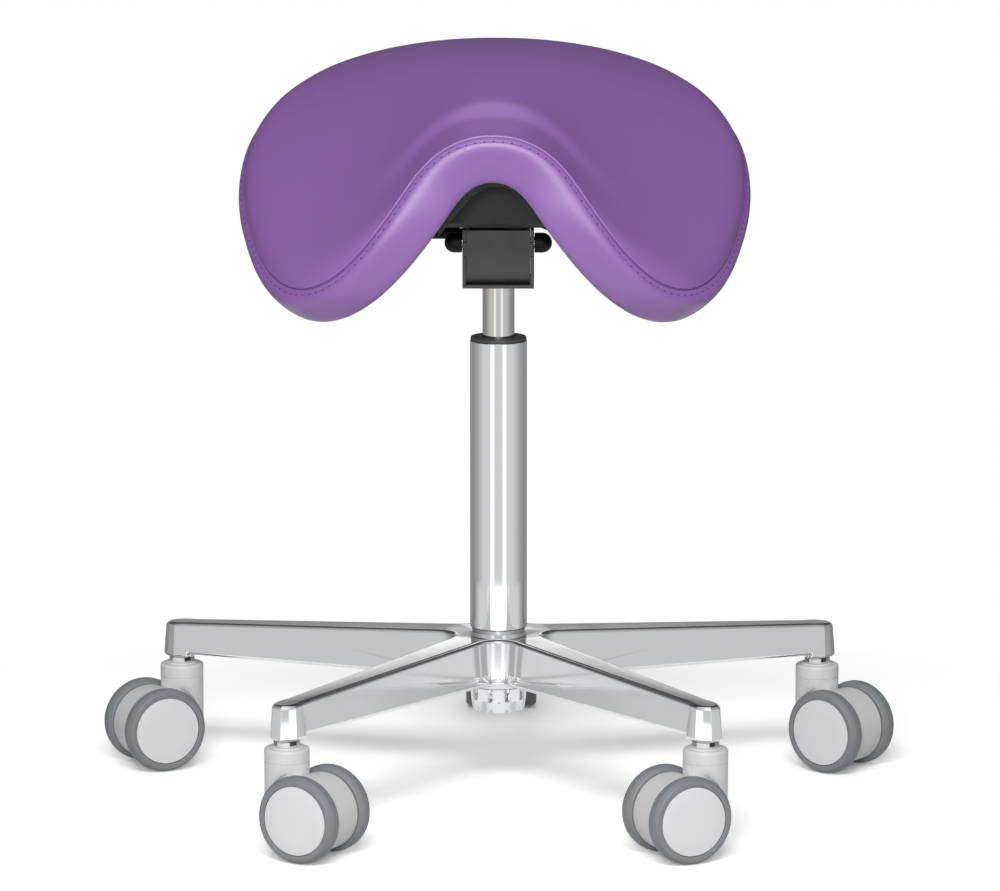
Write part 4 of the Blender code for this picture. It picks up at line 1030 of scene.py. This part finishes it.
def top_panel_height(turn, share):
    """Height of the top panel over the pad's middle sheet.

    At the sides it is level, then rounds off to the seam. At the front it steps down, then runs straight
    to the seam.
    """
    reach, seam_height = seam_section
    beyond = max(0.0, (share - top_rounding_start) / (reach - top_rounding_start))
    side = top_height - (top_height - seam_height) * beyond ** top_rounding_power
    step_height = top_height - step_depth
    if share < step_share:
        front = top_height - step_depth * max(0.0, 1 - (step_share - share) / step_width) ** step_power
    else:
        front = step_height - (step_height - seam_height) * (share - step_share) / (reach - step_share)
    from_front = abs(math.remainder(turn + math.pi / 2, math.tau))
    return side + (front - side) * smooth_step(1 - from_front / step_half_turn)


def pad_column(turn):
    """One line of points over the pad, from its top middle round its edge to its underside."""
    shares = [seam_section[0] * math.sin(math.pi / 2 * step / 40) for step in range(41)]
    upper = [pad_point(turn, share, top_panel_height(turn, share)) for share in shares]
    side = [pad_point(turn, share, height) for share, height in side_section]
    lower = curve_through(upper[-1:] + side, 14)
    upper_lengths = running_lengths(upper)
    lower_lengths = running_lengths(lower)
    whole = upper_lengths[-1]
    points = []
    offsets = []
    for step in range(top_row_count):
        distance = (whole - fold_start_distance) * step / (top_row_count - 1)
        points.append(point_at(upper, upper_lengths, distance))
        offsets.append(0.0)
    for distance, offset in fold_rows:
        points.append(point_at(upper, upper_lengths, whole + distance))
        offsets.append(offset)
    for distance, offset in band_rows:
        points.append(point_at(lower, lower_lengths, distance))
        offsets.append(offset)
    rest = lower_lengths[-1] - underside_start_distance
    for step in range(underside_row_count):
        distance = underside_start_distance + rest * step / (underside_row_count - 1)
        points.append(point_at(lower, lower_lengths, distance))
        offsets.append(0.0)
    for share in (0.75, 0.50, 0.25):
        points.append(pad_point(turn, share, -pad_thickness / 2))
        offsets.append(0.0)
    return points, offsets


def pad_grid():
    """All the pad's lines of points, moved out and in along the surface to form the seam."""
    columns = [pad_column(math.tau * (index + 0.5) / pad_columns) for index in range(pad_columns)]
    lines = [points for points, offsets in columns]
    moves = columns[0][1]
    moved = []
    normals = []
    for index, line in enumerate(lines):
        before = lines[index - 1]
        after = lines[(index + 1) % pad_columns]
        fresh = []
        faces = []
        for row in range(len(line)):
            low_row = max(row - 1, 0)
            high_row = min(row + 1, len(line) - 1)
            down = line[high_row] - line[low_row]
            round_way = after[row] - before[row]
            normal = down.cross(round_way)
            normal = normal.normalized() if normal.length > 0.0 else Vector((0.0, 0.0, 1.0))
            fresh.append(line[row] + normal * moves[row])
            faces.append(normal)
        moved.append(fresh)
        normals.append(faces)
    return lines, moved, normals


pad_lines, pad_moved, pad_normals = pad_grid()


def seat_cover():
    """The leather cover: a closed pad with a folded seam between its top and its side band."""
    shape = bmesh.new()
    peak = shape.verts.new(pad_point(0.0, 0.0, top_height))
    foot = shape.verts.new(pad_point(0.0, 0.0, -pad_thickness / 2))
    rows = []
    for row in range(1, len(pad_moved[0])):
        rows.append([shape.verts.new(pad_moved[index][row]) for index in range(pad_columns)])
    for index in range(pad_columns):
        after = (index + 1) % pad_columns
        shape.faces.new((peak, rows[0][index], rows[0][after]))
        for upper, lower in zip(rows, rows[1:]):
            shape.faces.new((upper[index], lower[index], lower[after], upper[after]))
        shape.faces.new((foot, rows[-1][after], rows[-1][index]))
    cover = new_piece("seat_cover", shaded_mesh("seat_cover", shape, 80.0))
    dressed(cover, purple_leather, "seat", ["seat_cushion"])
    return cover


def stitch_row():
    """Points of the stitch line, evenly spaced, each with its way along and its way out."""
    start_row = top_row_count + len(fold_rows)
    line = []
    for index in range(pad_columns):
        points = pad_lines[index]
        seam = points[start_row - 1]
        best = min(range(start_row, start_row + len(band_rows)),
                   key=lambda row: abs((points[row] - seam).length - seam_stitch_distance))
        line.append((pad_moved[index][best], pad_normals[index][best]))
    lengths = running_lengths([point for point, normal in line] + [line[0][0]])
    count = round(lengths[-1] / stitch_pitch)
    placed = []
    for number in range(count):
        distance = lengths[-1] * number / count
        index = max(0, next(i for i, length in enumerate(lengths) if length > distance) - 1)
        span = lengths[index + 1] - lengths[index]
        share = (distance - lengths[index]) / span
        first, second = line[index], line[(index + 1) % pad_columns]
        place = first[0].lerp(second[0], share)
        out = first[1].lerp(second[1], share).normalized()
        way = (second[0] - first[0]).normalized()
        placed.append((place, way, out))
    return placed


def small_lump(shape, place, way, out, length, width, height):
    """A small rounded lump, lying along one way and standing out another."""
    side = way.cross(out).normalized()
    turn = Matrix((
        (way.x, side.x, out.x, place.x),
        (way.y, side.y, out.y, place.y),
        (way.z, side.z, out.z, place.z),
        (0.0, 0.0, 0.0, 1.0),
    ))
    size = Matrix.Diagonal((length / 2, width / 2, height / 2, 1.0))
    bmesh.ops.create_uvsphere(shape, u_segments=8, v_segments=8, radius=1.0, matrix=turn @ size)


def seat_stitches():
    """The sewn row below the seam: short threads, and between them small dark lumps whose colour is painted
    shade for the needle holes.
    """
    threads = bmesh.new()
    hole_shade_lumps = bmesh.new()
    placed = stitch_row()
    for number, (place, way, out) in enumerate(placed):
        # Each needle hole is a small lump, dark as painted shade.
        small_lump(hole_shade_lumps, place, way, out, 0.0017, 0.0015, 0.0006)
        following = placed[(number + 1) % len(placed)][0]
        middle = (place + following) / 2 + out * 0.00005
        small_lump(threads, middle, (following - place).normalized(), out, 0.0060, 0.0009, 0.0007)
    thread = new_piece("seat_stitch_threads", shaded_mesh("seat_stitch_threads", threads, 80.0))
    dressed(thread, stitch_thread, "seat")
    hole = new_piece("seat_painted_hole_shades", shaded_mesh("seat_painted_hole_shades", hole_shade_lumps, 80.0))
    dressed(hole, painted_hole_shade, "seat")


# Castors

wheel_radius = 0.0375
wheel_width = 0.0155
castor_headings = {
    "rear": 90.0,
    "side_left": -154.6,
    "front_left": -29.4,
    "front_right": -154.2,
    "side_right": -37.8,
}


def tyre_mesh():
    """A soft tyre: a flat side ring, a rounded shoulder and a slightly crowned tread."""
    half = wheel_width / 2
    profile = rounded([
        (0.0300, half, 0.0), (0.0302, half + 0.0001, 0.0), (0.0345, half + 0.0001, 0.0022),
        (wheel_radius - 0.0003, half - 0.0042, 0.0028),
        (wheel_radius, 0.0, 0.0), (wheel_radius - 0.0003, 0.0042 - half, 0.0028),
        (0.0345, -half, 0.0022), (0.0302, -half, 0.0), (0.0300, -half, 0.0),
    ], 5)
    return turned_mesh("wheel_tyre", profile, 96, 50.0, closed=True)


def wheel_face_mesh():
    """A wheel's moulded core: a smooth outer disc, and a hub and web on its inner side."""
    half = wheel_width / 2
    profile = rounded([
        (0.0, half + 0.0002, 0.0), (0.0200, half + 0.0001, 0.020), (0.0294, half - 0.0003, 0.0006),
        (0.0297, half - 0.0012, 0.0), (0.0297, 0.0004 - half, 0.0003), (0.0260, 0.0004 - half, 0.0004),
        (0.0255, 0.0034 - half, 0.0004), (0.0105, 0.0034 - half, 0.0006), (0.0100, 0.0002 - half, 0.0004),
        (0.0044, 0.0002 - half, 0.0), (0.0044, 0.0020, 0.0), (0.0, 0.0020, 0.0),
    ], 4)
    return turned_mesh("wheel_face", profile, 96)


def housing_mesh():
    """A castor's housing about its stem, trailing along +Y: a barrel, a drum and two wheel arches."""
    half_drum = 0.0162
    trail = 0.0270
    barrel_profile = rounded([
        (0.0059, 0.0934, 0.0), (0.0142, 0.0934, 0.0006), (0.0142, 0.0920, 0.0003), (0.0192, 0.0920, 0.0022),
        (0.0192, 0.0806, 0.0003), (0.0188, 0.0804, 0.0), (0.0188, 0.0800, 0.0), (0.0192, 0.0798, 0.0003),
        (0.0192, 0.0240, 0.0050), (0.0, 0.0240, 0.0),
    ], 5)
    barrel_profile += [(0.0, 0.0550), (0.0059, 0.0550)]
    barrel = new_piece("barrel", turned_mesh("barrel", barrel_profile, 72, 40.0, closed=True))
    drum = turned_piece("drum", rounded([
        (0.0, half_drum, 0.0), (0.0330, half_drum, 0.0010), (0.0330, -half_drum, 0.0010),
        (0.0, -half_drum, 0.0),
    ], 4), 96, (0.0, trail, wheel_radius))
    drum.rotation_euler = (0.0, math.pi / 2, 0.0)
    cut(barrel, drum, "UNION")
    cutters = [drum]
    for side in (-1, 1):
        arch = turned_piece("arch", [
            (0.0, 0.0400), (0.0395, 0.0400), (0.0395, half_drum - 0.0001), (0.0, half_drum - 0.0001),
        ], 97, (0.0, trail, wheel_radius))
        arch.rotation_euler = (0.0, side * math.pi / 2, 0.0)
        cut(barrel, arch)
        cutters.append(arch)
    under = box_piece("under", (-0.0300, -0.0500, -0.0100), (0.0300, 0.0800, 0.0085))
    cut(barrel, under)
    cutters.append(under)
    hole = turned_piece("axle_hole", [
        (0.0, 0.0250), (0.0043, 0.0250), (0.0043, -0.0250), (0.0, -0.0250)], 24, (0.0, trail, wheel_radius))
    hole.rotation_euler = (0.0, math.pi / 2, 0.0)
    cut(barrel, hole)
    cutters.append(hole)
    baked(barrel)
    mesh = barrel.data
    remove_all(cutters + [barrel])
    mesh.name = "castor_housing"
    return mesh


def stem_mesh():
    """A castor's steel stem, with a wider sleeve where it shows between arm and housing, dark as painted
    shade in the gaps of the neck.
    """
    profile = rounded([
        (0.0, 0.1210, 0.0), (0.0055, 0.1210, 0.0005), (0.0055, 0.0982, 0.0), (0.0078, 0.0982, 0.0003),
        (0.0078, 0.0937, 0.0003), (0.0055, 0.0937, 0.0), (0.0055, 0.0560, 0.0005), (0.0, 0.0560, 0.0),
    ], 3)
    return turned_mesh("castor_stem", profile, 40)


def neck_mesh():
    """The collar round a castor's stem: three broad teeth with gaps between them, on a thin ring."""
    teeth = 3
    neck = turned_piece("neck", rounded([
        (0.0080, 0.0982, 0.0), (0.0114, 0.0982, 0.0004), (0.0114, 0.0936, 0.0), (0.0080, 0.0936, 0.0),
    ], 3), 60, closed=True)
    gap_size = Matrix.Diagonal((0.0120, 0.0112, 0.0080, 1.0))
    gaps = bmesh.new()
    for index in range(teeth):
        turn = Matrix.Rotation(math.radians(-43.0) + index * math.tau / teeth, 4, "Z")
        place = Matrix.Translation((0.0120, 0.0, 0.0982))
        bmesh.ops.create_cube(gaps, size=1.0, matrix=turn @ place @ gap_size)
    cutter = new_piece("neck_gaps", shaded_mesh("neck_gaps", gaps))
    cut(neck, cutter)
    baked(neck)
    mesh = neck.data
    remove_all([cutter, neck])
    mesh.name = "castor_neck"
    return mesh


def castor_pieces():
    tyre = tyre_mesh()
    face = wheel_face_mesh()
    housing = housing_mesh()
    stem = stem_mesh()
    neck = neck_mesh()
    for number, (place, heading) in enumerate(castor_headings.items()):
        turn = math.radians(heading) - math.pi / 2
        arm_angle = math.pi / 2 + number * 2 * arm_half_angle
        stem_place = column_place + Vector(polar_point(arm_angle, stem_circle_radius, 0.0, 0.0))
        body = f"castor_{place}"
        piece = new_piece(f"housing_{place}", housing.copy(), stem_place)
        piece.rotation_euler = (0.0, 0.0, turn)
        dressed(piece, housing_plastic, body, [f"castor_{place}_housing"])
        # The stem is dark coated as painted shade: it shows in the gaps of the white neck, where shade falls.
        piece = new_piece(f"stem_{place}", stem.copy(), stem_place)
        dressed(piece, dark_coat, "base", [f"castor_{place}_stem"])
        piece = new_piece(f"neck_{place}", neck.copy(), stem_place)
        dressed(piece, housing_plastic, "base")
        for side, label in ((-1, "a"), (1, "b")):
            centre = node_middle(f"castor_{place}_tyre_{label}")
            for kind, mesh, material, slot in (
                ("tyre", tyre, tyre_rubber, "tyre"),
                ("core", face, wheel_plastic, "wheel_core"),
            ):
                piece = new_piece(f"{kind}_{place}_{label}", mesh.copy(), centre)
                piece.rotation_euler = (Matrix.Rotation(turn, 3, "Z")
                                        @ Matrix.Rotation(side * math.pi / 2, 3, "Y")).to_euler()
                dressed(piece, material, f"wheel_{place}_{label}", [f"castor_{place}_{kind}_{label}"])


# Solids that keep their shape and get a finish

def finish_kept_nodes():
    finishes = {
        "thrust_bearing": bright_steel,
        "piston_rod": ground_steel,
        "retaining_clip": bright_steel,
        "buffer_ring": cap_plastic,
        "rod_guide": cap_plastic,
        "valve_pin": bright_steel,
        "rear_plate": dark_coat,
        "taper_socket": dark_coat,
        "pivot_shaft": bright_steel,
        "tilt_bracket": dark_coat,
        "tilt_lever": dark_coat,
    }
    for place in castor_headings:
        finishes[f"castor_{place}_axle"] = bright_steel
    for name, material in finishes.items():
        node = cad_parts[name]
        node.data.materials.clear()
        node.data.materials.append(material)


# Studio

# Greys of the reflection screens, alike to left and right: degrees from the camera's side, and brightness
strip_light_greys = [
    (0.0, 0.50), (14.0, 0.50), (18.0, 0.85), (30.0, 0.85), (34.0, 0.50), (60.0, 0.50), (90.0, 0.30),
    (120.0, 0.20), (180.0, 0.20),
]
low_card_greys = [(0.0, 1.00), (35.0, 1.00), (45.0, 0.50), (80.0, 0.50), (110.0, 0.20), (180.0, 0.20)]
seat_greys = [(0.0, 0.55), (60.0, 0.35), (125.0, 0.14), (154.0, 0.24), (168.0, 0.84), (180.0, 0.84)]
upper_greys = [(0.0, 0.75), (50.0, 0.40), (110.0, 0.06), (180.0, 0.05)]
screen_strength = 1.6


def area_light(name, place, aim, size, power):
    light = bpy.data.lights.new(name, "AREA")
    light.shape = "RECTANGLE"
    light.size, light.size_y = size
    light.energy = power
    lamp = bpy.data.objects.new(name, light)
    lamp.location = place
    lamp.rotation_euler = (Vector(aim) - Vector(place)).to_track_quat("-Z", "Y").to_euler()
    lamp.visible_camera = False
    bpy.context.scene.collection.objects.link(lamp)


def white_seen_directly(tree, lit_socket, out_socket):
    """Joins a lit shader and plain white: camera, mirror and glass rays see the white."""
    path = tree.nodes.new("ShaderNodeLightPath")
    glossy = tree.nodes.new("ShaderNodeMath")
    glossy.operation = "MAXIMUM"
    clear = tree.nodes.new("ShaderNodeMath")
    clear.operation = "MAXIMUM"
    tree.links.new(path.outputs["Is Camera Ray"], glossy.inputs[0])
    tree.links.new(path.outputs["Is Glossy Ray"], glossy.inputs[1])
    tree.links.new(glossy.outputs[0], clear.inputs[0])
    tree.links.new(path.outputs["Is Transmission Ray"], clear.inputs[1])
    mix = tree.nodes.new("ShaderNodeMixShader")
    tree.links.new(clear.outputs[0], mix.inputs["Fac"])
    tree.links.new(lit_socket, mix.inputs[1])
    tree.links.new(mix.outputs[0], out_socket)
    return mix


def build_world():
    world = bpy.data.worlds.new("studio")
    bpy.context.scene.world = world
    world.use_nodes = True
    tree = world.node_tree
    room = tree.nodes["Background"]
    room.inputs["Color"].default_value = (1.0, 1.0, 1.0, 1.0)
    room.inputs["Strength"].default_value = 0.31
    white = tree.nodes.new("ShaderNodeBackground")
    white.inputs["Color"].default_value = (1.0, 1.0, 1.0, 1.0)
    white.inputs["Strength"].default_value = 1.0
    mix = white_seen_directly(tree, room.outputs[0], tree.nodes["World Output"].inputs["Surface"])
    tree.links.new(white.outputs[0], mix.inputs[2])


def build_floor():
    """A pale floor that keeps the stool's shadow close by and fades to white further out."""
    shape = bmesh.new()
    bmesh.ops.create_circle(shape, cap_ends=True, segments=64, radius=30.0)
    floor = new_piece("studio_floor", shaded_mesh("studio_floor", shape), (0.0, 0.0, -0.0002))
    shader = Shader("studio_floor", (0.55, 0.55, 0.55, 1.0), 0.9)
    tree = shader.material.node_tree
    output = tree.nodes["Material Output"]
    white = tree.nodes.new("ShaderNodeEmission")
    white.inputs["Strength"].default_value = 1.0
    lift = tree.nodes.new("ShaderNodeEmission")
    lift.inputs["Strength"].default_value = 0.12
    bright = tree.nodes.new("ShaderNodeBsdfDiffuse")
    bright.inputs["Color"].default_value = (1.36, 1.36, 1.36, 1.0)
    near = tree.nodes.new("ShaderNodeAddShader")
    tree.links.new(bright.outputs[0], near.inputs[0])
    tree.links.new(lift.outputs[0], near.inputs[1])
    place = tree.nodes.new("ShaderNodeTexCoord")
    length = tree.nodes.new("ShaderNodeVectorMath")
    length.operation = "LENGTH"
    span = tree.nodes.new("ShaderNodeMapRange")
    span.inputs["From Min"].default_value = 0.40
    span.inputs["From Max"].default_value = 0.66
    fade = tree.nodes.new("ShaderNodeMixShader")
    tree.links.new(place.outputs["Object"], length.inputs[0])
    tree.links.new(length.outputs["Value"], span.inputs["Value"])
    tree.links.new(span.outputs["Result"], fade.inputs["Fac"])
    tree.links.new(near.outputs[0], fade.inputs[1])
    tree.links.new(white.outputs[0], fade.inputs[2])
    mix = white_seen_directly(tree, shader.surface.outputs[0], output.inputs["Surface"])
    tree.links.new(fade.outputs[0], mix.inputs[2])
    floor.data.materials.append(shader.material)


def grey_ramp(tree, turn, greys):
    """Brightness by the angle round the stool, whose socket runs from 0 behind it to 1 behind it."""
    ramp = tree.nodes.new("ShaderNodeValToRGB")
    stops = ramp.color_ramp.elements
    while len(stops) > 1:
        stops.remove(stops[-1])
    stops[0].position = 0.0
    stops[0].color = (greys[0][1],) * 3 + (1.0,)
    for degrees, brightness in greys[1:]:
        stop = stops.new(0.5 + degrees / 360)
        stop.color = (brightness, brightness, brightness, 1.0)
    tree.links.new(turn, ramp.inputs["Fac"])
    return ramp.outputs["Color"]


def build_reflection_ring(name, radius, height, bands):
    """A ring of soft greys round the stool, like studio flags, which only gloss and metal show."""
    shape = bmesh.new()
    bmesh.ops.create_cone(shape, cap_ends=False, segments=96, radius1=radius, radius2=radius, depth=height)
    ring = new_piece(name, shaded_mesh(name, shape), column_place + Vector((0.0, 0.0, height / 2)))
    material = bpy.data.materials.new(name)
    material.use_nodes = True
    tree = material.node_tree
    tree.nodes.remove(tree.nodes["Principled BSDF"])
    place = tree.nodes.new("ShaderNodeTexCoord")
    parts = tree.nodes.new("ShaderNodeSeparateXYZ")
    tree.links.new(place.outputs["Object"], parts.inputs[0])
    forward = tree.nodes.new("ShaderNodeMath")
    forward.operation = "MULTIPLY"
    forward.inputs[1].default_value = -1.0
    tree.links.new(parts.outputs["Y"], forward.inputs[0])
    angle = tree.nodes.new("ShaderNodeMath")
    angle.operation = "ARCTAN2"
    tree.links.new(parts.outputs["X"], angle.inputs[0])
    tree.links.new(forward.outputs[0], angle.inputs[1])
    turn = tree.nodes.new("ShaderNodeMath")
    turn.operation = "MULTIPLY_ADD"
    turn.inputs[1].default_value = 1 / math.tau
    turn.inputs[2].default_value = 0.5
    tree.links.new(angle.outputs[0], turn.inputs[0])
    colour = None
    for start, end, greys in bands:
        band = grey_ramp(tree, turn.outputs[0], greys)
        if colour is None:
            colour = band
            continue
        rise = tree.nodes.new("ShaderNodeMapRange")
        rise.inputs["From Min"].default_value = start - height / 2
        rise.inputs["From Max"].default_value = end - height / 2
        tree.links.new(parts.outputs["Z"], rise.inputs["Value"])
        mix = tree.nodes.new("ShaderNodeMix")
        mix.data_type = "RGBA"
        tree.links.new(rise.outputs["Result"], mix.inputs["Factor"])
        tree.links.new(colour, mix.inputs["A"])
        tree.links.new(band, mix.inputs["B"])
        colour = mix.outputs["Result"]
    glow = tree.nodes.new("ShaderNodeEmission")
    glow.inputs["Strength"].default_value = screen_strength
    tree.links.new(colour, glow.inputs["Color"])
    tree.links.new(glow.outputs[0], tree.nodes["Material Output"].inputs["Surface"])
    material.cycles.emission_sampling = "NONE"
    ring.data.materials.append(material)
    ring.visible_camera = False
    ring.visible_diffuse = False
    ring.visible_transmission = False
    ring.visible_volume_scatter = False
    ring.visible_shadow = False


def to_both_sides(greys):
    """The stops from behind on the left, past the camera's side, to behind on the right."""
    return [(-degrees, grey) for degrees, grey in reversed(greys[1:])] + greys


def build_reflection_screens():
    """A tall screen with two strip lights, and a low one with a white card in front."""
    build_reflection_ring("tall_screen", 0.85, 2.20, [
        (0.0, 0.0, to_both_sides(strip_light_greys)),
        (0.326, 0.336, to_both_sides(seat_greys)),
        (0.40, 0.46, to_both_sides(upper_greys)),
    ])
    build_reflection_ring("low_screen", 0.42, 0.105, [(0.0, 0.0, to_both_sides(low_card_greys))])


def build_camera():
    """The photograph's view: a long lens, nearly level, straight on."""
    picture_width_pixels = 1000
    focal_length_pixels = 5919
    azimuth = math.radians(0.48)
    elevation = math.radians(9.72)
    distance = 5.18
    aim_drop = math.atan(48.8 / focal_length_pixels)
    side_turn = math.atan(1.5 / focal_length_pixels)
    target = column_place + Vector((0.0, 0.0, 0.35))
    away = Vector((
        math.sin(azimuth) * math.cos(elevation),
        -math.cos(azimuth) * math.cos(elevation),
        math.sin(elevation),
    ))
    lens = bpy.data.cameras.new("photo_view")
    lens.sensor_width = 36.0
    lens.lens = focal_length_pixels / picture_width_pixels * lens.sensor_width
    lens.clip_end = 100.0
    camera = bpy.data.objects.new("photo_view", lens)
    camera.location = target + away * distance
    camera.rotation_euler = (math.pi / 2 - elevation - aim_drop, 0.0, azimuth - side_turn)
    bpy.context.scene.collection.objects.link(camera)
    bpy.context.scene.camera = camera


def build_lights():
    front = column_place + Vector((0.0, 0.0, 0.40))
    area_light("front_softbox", (-0.15, -3.0, 2.6), front, (1.8, 0.8), 74.0)
    area_light("low_softbox", (-0.15, -3.4, 1.15), front, (0.9, 0.45), 40.0)
    area_light("back_softbox", (0.0, 1.2, 2.6), front, (1.8, 0.8), 4.0)


build_camera()
star_casting()
hub_collar_piece()
column_piece()
bush_piece()
gas_cylinder_piece()
mechanism_channel()
front_plate_piece()
pivot_cap_piece("left_pivot_dome", -1, "pivot_cap_left")
pivot_cap_piece("right_pivot_dome", 1, "pivot_cap_right")
seat_block_piece()
seat_pan_piece()
height_lever_piece()
seat_cover()
seat_stitches()
castor_pieces()
finish_kept_nodes()
build_world()
build_floor()
build_reflection_screens()
build_lights()

bpy.context.scene.view_settings.view_transform = "Standard"
